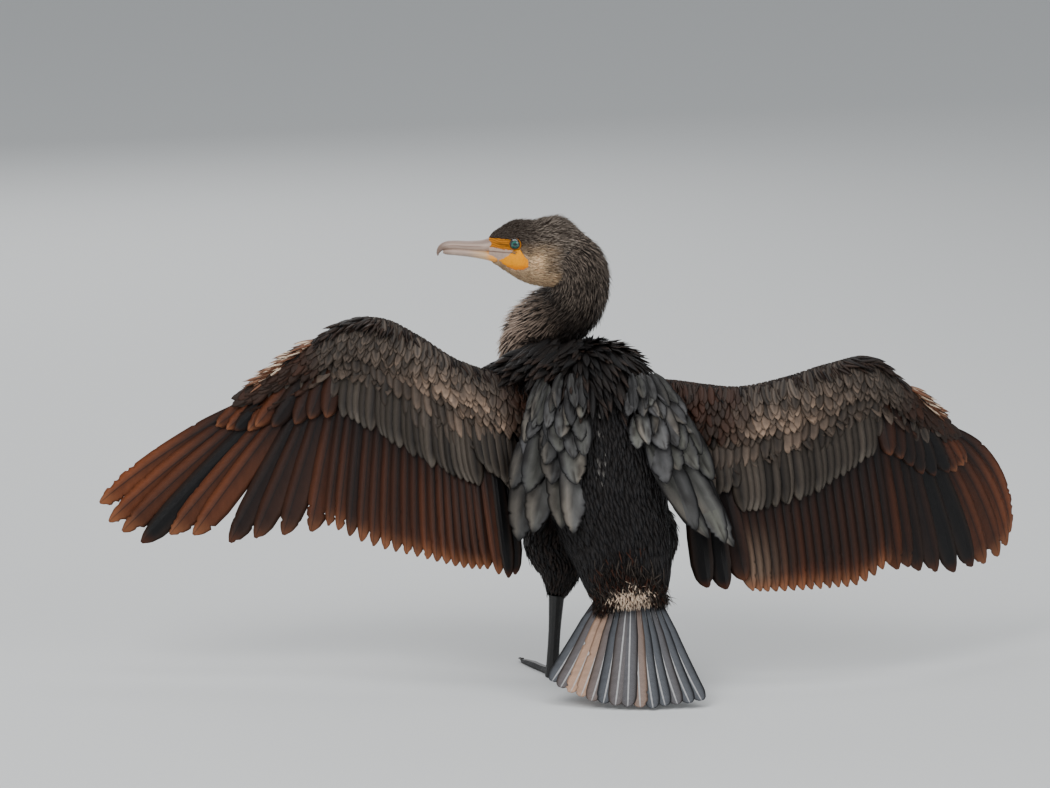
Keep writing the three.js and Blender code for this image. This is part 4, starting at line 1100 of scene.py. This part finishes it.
def build_edge_tufts(name, wing):
    """Ragged down at the leading edge: near black along the arm, and rufous with white along the hand."""
    rng = np.random.default_rng(55)
    count = 1300
    n = count + count // 2
    t = np.concatenate([rng.uniform(0.6, WRIST + 0.9, count), rng.uniform(*wing["rufous_edge"], n - count)])
    c = rng.uniform(-0.015, 0.16, n)
    lead = np.arange(n) >= count
    ragged = bump(t, WRIST - 0.1, 0.8) * ~lead
    up, chord = wing_up(wing, t), chord_line(wing, t)
    root = on_wing(wing, t, np.maximum(c, 0), wing_skin(t, np.maximum(c, 0.0)))
    outwards = unit(through(wing["lead"], np.minimum(t + 0.3, TIP)) - through(wing["lead"], t - 0.3))
    ahead = (outwards * np.where(lead, 0.7, 0.5 * ragged)[:, None]
             - chord * np.where(lead, 0.55, 0.12 + 0.58 * ragged)[:, None])
    along = unit(lie_of_feathers(wing, t) * np.where(lead, 0.75, 1.0)[:, None] + ahead + up * 0.3
                 + rng.normal(0, 0.17, (n, 3)))
    size = np.where(lead, 1.2, 0.8 + 0.4 * ragged) * rng.uniform(0.7, 1.3, n)
    b = batch(root, along, unit(up - chord * 0.5), 19 * size, np.where(lead, 2.6, 4.2) * size,
              np.stack([t / TIP, 0.97 + 0.1 * c], -1), bend=0.14, cup=0.1)
    tuft = np.where(lead & (rng.random(n) < 0.32), 1.0, 0.0)

    def color(s, x, r, face):
        dark = col(BLACK, DARK_BROWN, each(r, s))
        warm = col(RUFOUS * 0.6, mix(RUFOUS_PALE, TAN, 0.6) * 1.15, each(r, s) * step(-0.3, 1, s))
        warm = col(warm, CREAM * 1.7, per(tuft) * step(0.1, 0.6, s))
        return col(dark, warm, per(lead) & (each(r, s) < 0.85))

    vanes(f"edge_tufts_{name}", "edge_tufts", b, color)


# Tail

def tail_sheet(q):
    """How far back and down the bent fan reaches at a distance from its root."""
    steep, flat = np.radians(TAIL_SLOPE)
    pieces = 12
    y = np.full_like(q, TAIL_ROOT[1])
    z = np.full_like(q, TAIL_ROOT[2])
    for i in range(pieces):
        slope = mix(steep, flat, np.clip(q * (i + 0.5) / pieces / TAIL_FLAT, 0, 1))
        y = y - np.cos(slope) * q / pieces
        z = z - np.sin(slope) * q / pieces
    return y, z


def build_tail():
    """Stiff feathers fanned over one bent sheet, the middle pair on top."""
    rng = np.random.default_rng(61)
    s = np.linspace(0, 1, 45)
    ring_x, face = ring_of(TAIL)
    S, X = np.broadcast_arrays(s[:, None], ring_x[None, :])
    half = np.interp(s, *PROFILES["tail"])
    points, shades, barbs, uvs = [], [], [], []
    count, slope = len(TAIL_PALE), math.radians(TAIL_SLOPE[0])
    middle = (count - 1) / 2
    late = (0.04 + step(0.75, 1, s))[:, None]
    body = 0.3 * (1 - np.abs(X) ** 3) + 0.9 * (1 - S) * np.clip(1 - np.abs(X) / 0.08, 0, 1)
    for i, pale in enumerate(TAIL_PALE):
        length = float(share(TAIL_LENGTH, i / (count - 1))) * rng.uniform(0.975, 1.0)
        angle = math.radians(mix(*TAIL_SWING, i / (count - 1)))
        side = 1 if i < middle else -1
        cut = rng.random((len(s), 2)) < (0.06 + 0.6 * pale) * late
        worn = 1 - cut * rng.uniform(0.03, 0.1 + 0.25 * pale, (len(s), 2))
        w = TAIL_WIDTH / 2 * half[:, None] * np.where(X > 0, worn[:, :1], worn[:, 1:]) * X
        reach = TAIL_BEHIND + mix(-12, length, S)
        turned = angle + w / reach
        y, z = tail_sheet(reach * np.cos(turned) - TAIL_BEHIND)
        x = TAIL_ROOT[0] + reach * np.sin(turned)
        lift = -0.45 * abs(i - middle) - 0.06 * side * w + face * body
        # The underside stays above the floor, and the upper face above it
        z = np.maximum(z + lift * math.cos(slope), 0.05 + (face > 0) * 0.8)
        points.append(np.stack([x, y - lift * math.sin(slope), z], -1))
        base = col(TAIL_BLUE, BLACK, 0.85 * step(0.45, 1, np.abs(X)))
        base = col(base, TAIL_WORN, pale * (0.7 + 0.3 * S))
        shades.append(col(base, SHAFT_WHITE, (np.abs(X) < 0.08) * (face >= 0) * (1 - 0.25 * S)))
        barb = (TAIL_BEHIND + length) * S - BARB_SLANT * np.abs(w)
        barbs.append(np.stack([w, barb, np.full_like(w, rng.random())], -1))
        uvs.append(np.stack([(i + 0.5 + X * 0.45) / count, 0.02 + 0.96 * S], -1))
    faces = vane_triangles(*X.shape)[:, ::-1]
    all_faces = (faces[None] + (np.arange(count) * X.size)[:, None, None]).reshape(-1, 3)
    points, shades, barbs, uvs = (np.concatenate(values).reshape(-1, values[0].shape[-1])
                                  for values in (points, shades, barbs, uvs))
    tail = mesh_object("tail_feathers", points, all_faces)
    set_color(tail, shades)
    set_barb(tail, barbs)
    set_uv(tail, uvs)
    dressed(tail, flight_plumage)


# Body

def scapular_color(upper, rough):
    """Slate with buff and dark streaks and a black rim: black where upper, more streaked where rough."""

    def color(s, x, r, face):
        edge = np.maximum(step(0.55, 0.98, np.abs(x)) * step(0.1, 0.4, s), step(0.9, 1.0, s))
        centre = col(SLATE, OLIVE * 1.9, each(r, s) * step(1, 0.2, np.abs(x)))
        buff = (each(r, s) < 0.5) * step(-0.2, 0.8, x) * step(0.2, 0.7, s)
        centre = col(centre, mix(OLIVE * 2.6, TAN, 0.35), 0.75 * buff)
        streak = np.sin(7 * x + 5 * s + 6.3 * each(r, s)) * np.sin(4 * x - 9 * s + 6.3 * each(r, s))
        centre = col(centre, BLACK_BROWN, 0.8 * np.clip(streak * 1.4, 0, 1) * per(rough))
        centre = col(centre, BLACK, 0.6 * bump(x, 0, 0.2) * step(1, 0.4, s))
        centre = col(centre, BLACK, per(upper) * r.uniform(0.7, 1.0, (len(s), 1, 1)))
        return col(centre, BLACK, edge * 0.95) * (0.55 + 0.85 * each(r, s))[..., None]

    return color


def build_scapulars(rng):
    """Large shoulder feathers that hang down both sides of the back in overlapping rows."""
    rows = []
    for outer, inner in SCAPULARS.values():
        for row, (start, stop, width) in enumerate(SCAPULAR_ROWS):
            columns = (np.arange(6 - row // 2) + 0.5 * (row % 2) + 0.1) / (5.7 - row // 2)
            for column in columns[columns <= 1]:
                first = start + rng.normal(0, 0.02)
                final = stop + rng.normal(0, 0.035) - 0.05 * abs(column - 0.4)
                column = column + rng.normal(0, 0.05)
                p0 = mix(share(outer, first), share(inner, first), mix(column, 0.5, 0.3)) + (0, 7, 0)
                p1 = (mix(share(outer, final), share(inner, final), column)
                      + (rng.normal(0, 3.5), -7 + 1.2 * row + rng.normal(0, 0.8), rng.normal(0, 4)))
                up = (rng.normal(0, 0.14), -1, 0.45)
                rows.append(batch([p0], [p1 - p0], [up], np.linalg.norm(p1 - p0),
                                  width * rng.uniform(0.8, 1.1), side=rng.choice([-1, 1]), tilt=0.03,
                                  sweep=rng.normal(0, 0.05), bend=-0.05))
    b = merged(rows)
    root_z = b["root"][:, 2]
    color = scapular_color(step(335, 366, root_z), mix(0.45, 1.0, step(240, 320, root_z)))
    vanes("scapulars", "scapulars", b, color)


def build_mantle(rng):
    """Black lancet feathers over the upper back and the root of the neck."""
    rows = []

    def add(p0, p1, up, bend, uv):
        count = len(p0)
        rows.append(batch(p0, p1 - p0, up, np.linalg.norm(p1 - p0, axis=-1), rng.uniform(8, 13, count), uv,
                          side=rng.choice([-1, 1], count), tilt=0.05, bend=bend, cup=0.15))

    for start in np.arange(8.0, 5.6, -0.16):
        spread = np.interp(start, [5.6, 6.6, 7.2, 8.0], [30, 55, 95, 150])
        count = int(spread / MANTLE_SPACING)
        angle = np.linspace(-spread, spread, count) + rng.normal(0, 2.5, count)
        t = start + rng.normal(0, 0.08, count)
        length = rng.uniform(38, 60, count) * np.interp(start, [5.4, 8.0], [1.0, 0.85])
        p0, n0 = torso_point(t, angle, -1.0)
        p1, n1 = torso_point(t - length / 46, angle + rng.normal(0, 4, count), rng.uniform(3, 9, count))
        add(p0, p1, unit(n0 + n1), -0.05, np.stack([angle / 360 % 1, t / 8.2], -1))
    # Over the root of the neck the mantle sweeps down to the left shoulder
    count = 210
    place = rng.random((count, 2))
    high, low = share(MANTLE_TOP, place[:, 0]), share(MANTLE_FOOT, place[:, 0])
    p0 = mix(high, low, 0.75 * place[:, 1:]) + rng.normal(0, 1.5, (count, 3))
    p1 = mix(high, low, 0.75 * place[:, 1:] + 0.62) + (-14, 0, -2) + rng.normal(0, 5, (count, 3))
    add(p0, p1, np.tile([-0.1, -0.8, 0.6], (count, 1)), -0.04,
        np.stack([0.4 + 0.2 * place[:, 0], 0.9 + 0.05 * place[:, 1]], -1))

    def dark(s, x, r, face):
        base = col(BLACK, BLACK_BROWN, each(r, s))
        return col(base, DARK_BROWN * 1.2, 0.6 * (each(r, s) < 0.35) * step(0.5, 1, s))

    vanes("mantle", "mantle", merged(rows), dark)


def build_torso_feathers(rng):
    """Small sleek contour feathers in rows down the torso, on every side and over its front end."""
    rows = []
    length, width = SIZES["torso_feathers"]
    for t in np.arange(0.25, TORSO_END, 0.1):
        count = int(2 * np.pi * float(through(TORSO["wide"], t)) / TORSO_SPACING)
        angle = (np.arange(count) + rng.random()) / count * 360 + rng.normal(0, 1.2, count)
        tt = np.full(count, t) + rng.normal(0, 0.03, count)
        p, n = torso_point(tt, angle, -COAT + 0.5)
        ahead, _ = torso_point(tt - 0.3, angle, -COAT + 0.5)
        along = unit(ahead - p) + n * 0.07 + rng.normal(0, 0.035, (count, 3))
        size = rng.uniform(0.85, 1.2, count) * np.interp(t, [0, 2, 6, 8], [0.9, 1.0, 1.0, 0.8])
        uv = np.stack([angle / 360 % 1, np.full(count, t / TORSO_END)], -1)
        rows.append(batch(p, along, n, length * size, width * size, uv, side=rng.choice([-1, 1], count),
                          bend=0.03, cup=0.02))
    # The front end, beside the root of the neck
    count = 500
    axis, right, up = (way[0] for way in tube_frame(TORSO, np.array([float(TORSO_END)])))
    turn, far = rng.uniform(0, 2 * np.pi, count), np.sqrt(rng.random(count))
    spread = right * (27 * far * np.cos(turn))[:, None] + up * (21 * far * np.sin(turn))[:, None]
    along = unit(unit(spread) + axis * 0.3 + rng.normal(0, 0.1, (count, 3)))
    rows.append(batch(np.array(TORSO["at"][-1]) + spread - axis * (1 + 3 * far[:, None] ** 2), along,
                      np.tile(axis, (count, 1)), *SIZES["front_end"],
                      np.stack([0.2 + 0.02 * np.cos(turn), np.full(count, 0.98)], -1), bend=0.1, cup=0.02))
    b = merged(rows)
    angle = (b["uv"][:, 0] * 360 + 180) % 360 - 180
    at = b["uv"][:, 1] * TORSO_END
    spine = (np.abs(angle + 4) < 5) & (at > 3.2) & (at < 6) & (rng.random(len(angle)) < 0.3)

    def color(s, x, r, face):
        tone = np.clip(r.normal(1, 0.1, (len(s), 1, 1, 1)), 0.5, 1.6)
        base = mix(BLACK, BLACK_BROWN, 0.6)
        base = col(base, GREY * 0.7, 0.36 * step(0.3, 1, s) * (0.5 + each(r, s)))
        return col(base, GREY_PALE * 1.3, 0.7 * per(spine) * step(0.9, 1, s)) * tone

    vanes("torso_feathers", "torso_feathers", b, color)


def build_rump_down(rng):
    """Loose down over the tail's root, pale in the middle and rusty round it."""
    count = 3200
    angle = rng.normal(0, 40, count).clip(-88, 88)
    reach = 0.6 + 0.4 * np.cos(np.radians(angle * 1.3 + 20))
    t = (np.abs(rng.normal(0, 0.55, count)) * reach).clip(0.02, 1.6)
    p, n = torso_point(t, angle, -1.0)
    ahead, _ = torso_point(np.maximum(t - 0.3, 0), angle, -1.0)
    down = unit(np.where(t[:, None] > 0.3, ahead - p, np.array([[0.0, -0.65, -0.75]])))
    along = down + n * 0.3 + rng.normal(0, 0.3, (count, 3))
    size = rng.uniform(0.7, 1.25, count)
    length, width = SIZES["rump_down"]
    fluff = batch(p, along, n, length * size, width * size, np.stack([angle / 360 % 1, t / TORSO_END], -1),
                  bend=0.2, cup=0.1)
    middle = per(bump(angle, 0, 34) * step(0.95, 0.2, t))

    def color(s, x, r, face):
        kind = each(r, s)
        base = col(BLACK_BROWN, HEAD_BROWN * 1.3, (kind < 0.25 + 0.6 * middle) * (0.3 + 0.7 * middle))
        base = col(base, RUFOUS * 0.35, (kind > 0.8) * 0.6)
        return col(base, CREAM * 1.9, (kind < 0.85 * middle - 0.08) * step(-0.2, 0.5, s))

    vanes("rump_down", "rump_down", fluff, color)


def build_thigh_feathers():
    """Small feathers in rings down both thighs."""
    rng = np.random.default_rng(85)
    rows = []
    length, width = SIZES["thigh_feathers"]
    for side, thigh in THIGHS.items():
        for t in np.arange(0.1, 3.0, 0.085):
            count = max(8, int(2 * np.pi * float(through(THIGH_RADII, t)) / THIGH_SPACING))
            angle = (np.arange(count) + rng.random()) / count * 2 * np.pi
            tt = np.full(count, t)
            p, n = tube_point(thigh, tt, angle, -THIGH_COAT)
            ahead, _ = tube_point(thigh, tt + 0.2, angle, -THIGH_COAT)
            size = np.interp(t, [0, 3], [1.0, 0.55]) * rng.uniform(0.8, 1.2, count)
            island = 0.5 if side == "right" else 0
            uv = np.stack([angle / (4 * np.pi) + island, np.full(count, t / 3)], -1)
            along = unit(ahead - p) + n * 0.22 + rng.normal(0, 0.1, (count, 3))
            rows.append(batch(p, along, n, length * size, width * size, uv, bend=0.1, cup=0.1))

    def color(s, x, r, face):
        return col(BLACK, DARK_BROWN, 0.5 * each(r, s))

    vanes("thigh_feathers", "thigh_feathers", merged(rows), color)


# Neck and head

def build_neck_feathers(rng, name, start, stop):
    """Short velvety tufts round a part of the neck, which grow finer towards the head."""
    rows, pale = [], []
    length, width = SIZES["neck_feathers"]
    for t in np.arange(start, stop, 0.047):
        spacing = float(np.interp(t, [0, 6.7], NECK_SPACING))
        count = int(2 * np.pi * float(through(NECK_RADIUS, t)) / spacing)
        angle = (np.arange(count) + rng.random()) / count * 2 * np.pi
        tt = np.full(count, t) + rng.normal(0, 0.03, count)
        p, n = tube_point(NECK, tt, angle, -COAT + 1.0)
        ahead, _ = tube_point(NECK, tt - 0.2, angle, -COAT + 1.0)
        size = np.interp(t, [0, 3, 6.7], [1.35, 0.95, 0.62]) * rng.uniform(0.7, 1.25, count)
        nape = step(0.3, 0.8, n[:, 0])
        fore = step(0.1, 0.7, -n[:, 0]) * np.interp(t, [1.6, 2.6, 3.6, 4.3], [0, 1, 1, 0])
        rise = 0.22 + 0.22 * nape + 0.5 * fore
        rows.append(batch(p, unit(ahead - p) + n * rise[:, None] + rng.normal(0, 0.13, (count, 3)), n,
                          length * size * (1 + 0.4 * nape + 0.7 * fore), width * size,
                          np.stack([angle / (2 * np.pi), np.full(count, t / NECK_END)], -1),
                          bend=0.12, cup=0.1))
        front = np.clip(-n[:, 0] * 1.3 + 0.2 + 0.25 * n[:, 1], 0, 1)
        pale.append(front * step(4.4, 2.6, tt))
    b, pale = merged(rows), per(np.concatenate(pale))
    warm = per(np.interp(b["uv"][:, 1] * NECK_END, [2.5, 3.8, 5.0, 7.0], [0.05, 0.15, 2.6, 3.6]))

    def color(s, x, r, face):
        dark = col(BLACK_BROWN, HEAD_BROWN, warm * each(r, s) * step(-0.3, 1.0, s))
        mottled = pale * (each(r, s) < 0.72)
        return col(dark, mix(TAN, GREY_PALE, 0.3) * 2.3, mottled * step(0.2, 0.7, s) * 0.95)

    vanes(f"neck_feathers_{name}", "neck_feathers", b, color)


def head_color(x, z):
    """Dark brown tufts on the crown and the nape, and cream and tan ones on the cheeks and the throat."""
    cheek = step(-8, -26, x) * step(492, 482, z)
    throat = step(10, -12, x) * step(472, 456, z)
    around = step(4, -14, x) * step(502, 488, z) * 0.45
    pale = per(np.maximum(np.maximum(cheek, throat), around))
    patch = 1 + per(np.exp(-((x + 27) / 9) ** 2 - ((z - 476) / 13) ** 2))[..., None]
    high = per(mix(1.7, 4.4, step(-50, -15, x)))

    def color(s, across, r, face):
        dark = col(DARK_BROWN * 0.7, HEAD_BROWN, high * each(r, s) * step(-0.3, 1.0, s))
        soft = col(CREAM * 1.35, TAN * 1.5, each(r, s)) * patch * (1.05, 0.97, 0.78)
        return col(dark, soft, np.clip(pale * r.uniform(0.65, 1.15, (len(s), 1, 1)), 0, 1))

    return color


def build_head_feathers():
    """Fine tufts over the crown, cheeks and throat, and none on the bare face."""
    rng = np.random.default_rng(100)
    count, on_face = 12500, 3000
    length, width = SIZES["head_feathers"]
    for half, low in (("left", np.pi / 2), ("right", -np.pi / 2)):
        x = np.concatenate([rng.uniform(-79, 31, count - on_face), rng.uniform(-79, -40, on_face)])
        turn = low + rng.uniform(0, np.pi, count)
        sunk = -1.6 + 0.7 * step(-30, -40, x)
        p, n = head_point(x, turn, sunk)
        z = p[:, 2]
        bare = inside(GULAR, x, z) | inside(LORES, x, z) | inside(JAW, x, z)
        bare |= np.hypot(x - EYE_X, z - EYE_Z) < EYE_BARE
        keep = ~(bare & (np.abs(p[:, 1] - HEAD_Y) > 3.5))
        x, turn, p, n, z, sunk = (values[keep] for values in (x, turn, p, n, z, sunk))
        ahead, _ = head_point(x + 3, turn, sunk)
        crest = step(-20, 8, x) * step(508, 518, z)
        shag = bump(x, -12, 13) * step(508, 517, z)
        brow = step(-14, -30, x) * step(-72, -56, x) * step(510, 516, z)
        size = mix(0.55, 1.0, step(-66, 0, x)) * rng.uniform(0.7, 1.2, len(x))
        rise = 0.26 + 0.2 * crest + 0.5 * shag + 0.45 * brow
        b = batch(p, unit(ahead - p) + n * rise[:, None] + rng.normal(0, 0.13, p.shape), n,
                  length * size * (1 + 0.3 * crest + 0.35 * shag + 0.4 * brow), width * size,
                  np.stack([turn / (2 * np.pi) % 1, (x + 80) / 115], -1), bend=0.14, cup=0.1)
        vanes(f"head_feathers_{half}", "head_feathers", b, head_color(x, z))


def dress_legs():
    leg_skin, claw = leg_material(), claw_material()
    for name, obj in frame["nodes"].items():
        if name.startswith(("tarsus", "foot", "claw")):
            obj.data.materials.clear()
            obj.data.materials.append(claw if name.startswith("claw") else leg_skin)
        if name.startswith("tarsus"):
            smoothed(obj)


# Studio

def build_studio():
    """A pale floor, an even sky and four large lamps: place and size in metres, and power in watts."""
    floor = mesh_object("floor", np.array([(-30, -16, 0), (30, -16, 0), (30, 60, 0), (-30, 60, 0)]) / MM,
                        [(0, 1, 2, 3)], smooth=False)
    pale = Shader("floor_pale", 0.9)
    pale.main.inputs["Base Color"].default_value = (0.62, 0.63, 0.63, 1)
    floor.data.materials.append(pale.material)
    world = bpy.data.worlds.new("world")
    bpy.context.scene.world = world
    world.use_nodes = True
    sky = world.node_tree.nodes["Background"]
    sky.inputs["Color"].default_value = (0.8, 0.83, 0.86, 1)
    sky.inputs["Strength"].default_value = 0.6
    lamps = {
        "key": ((-1.6, -2.6, 2.9), 2.2, 95),
        "fill": ((2.4, -2.4, 1.7), 2.4, 38),
        "top": ((0.2, 0.6, 3.0), 2.4, 45),
        "front": ((-1.0, 3.2, 1.8), 2.4, 35),
    }
    for name, (place, size, power) in lamps.items():
        data = bpy.data.lights.new(name, "AREA")
        data.size = size
        data.energy = power
        light = bpy.data.objects.new(name, data)
        light.location = place
        light.rotation_euler = (Vector((0, 0, 0.28)) - Vector(place)).to_track_quat("-Z", "Y").to_euler()
        bpy.context.scene.collection.objects.link(light)


def build_camera():
    """A long lens from behind, a little above the level, that frames the photo's width at the bird."""
    rise, distance = math.radians(CAMERA_RISE), 12.0
    aim = Vector((-0.0385, 0, 0.3312))
    data = bpy.data.cameras.new("camera")
    data.sensor_width = 36
    data.lens = data.sensor_width * distance / (PHOTO_WIDTH * MM_PER_PIXEL * MM)
    data.clip_end = 200
    camera = bpy.data.objects.new("camera", data)
    camera.location = aim - distance * Vector((0, math.cos(rise), -math.sin(rise)))
    camera.rotation_euler = (math.radians(90) - rise, 0, 0)
    bpy.context.scene.collection.objects.link(camera)
    bpy.context.scene.camera = camera


build_camera()
build_studio()
build_skin()
build_face()
build_bill()
build_eyes()
for side_name, side_wing in WINGS.items():
    build_wing(side_name, side_wing)
build_tail()
shoulder_rng = np.random.default_rng(70)
build_scapulars(shoulder_rng)
build_mantle(shoulder_rng)
torso_rng = np.random.default_rng(80)
build_torso_feathers(torso_rng)
build_rump_down(torso_rng)
build_thigh_feathers()
neck_rng = np.random.default_rng(90)
build_neck_feathers(neck_rng, "lower", 0.2, 3.3)
build_neck_feathers(neck_rng, "upper", 3.3, 6.9)
build_head_feathers()
dress_legs()
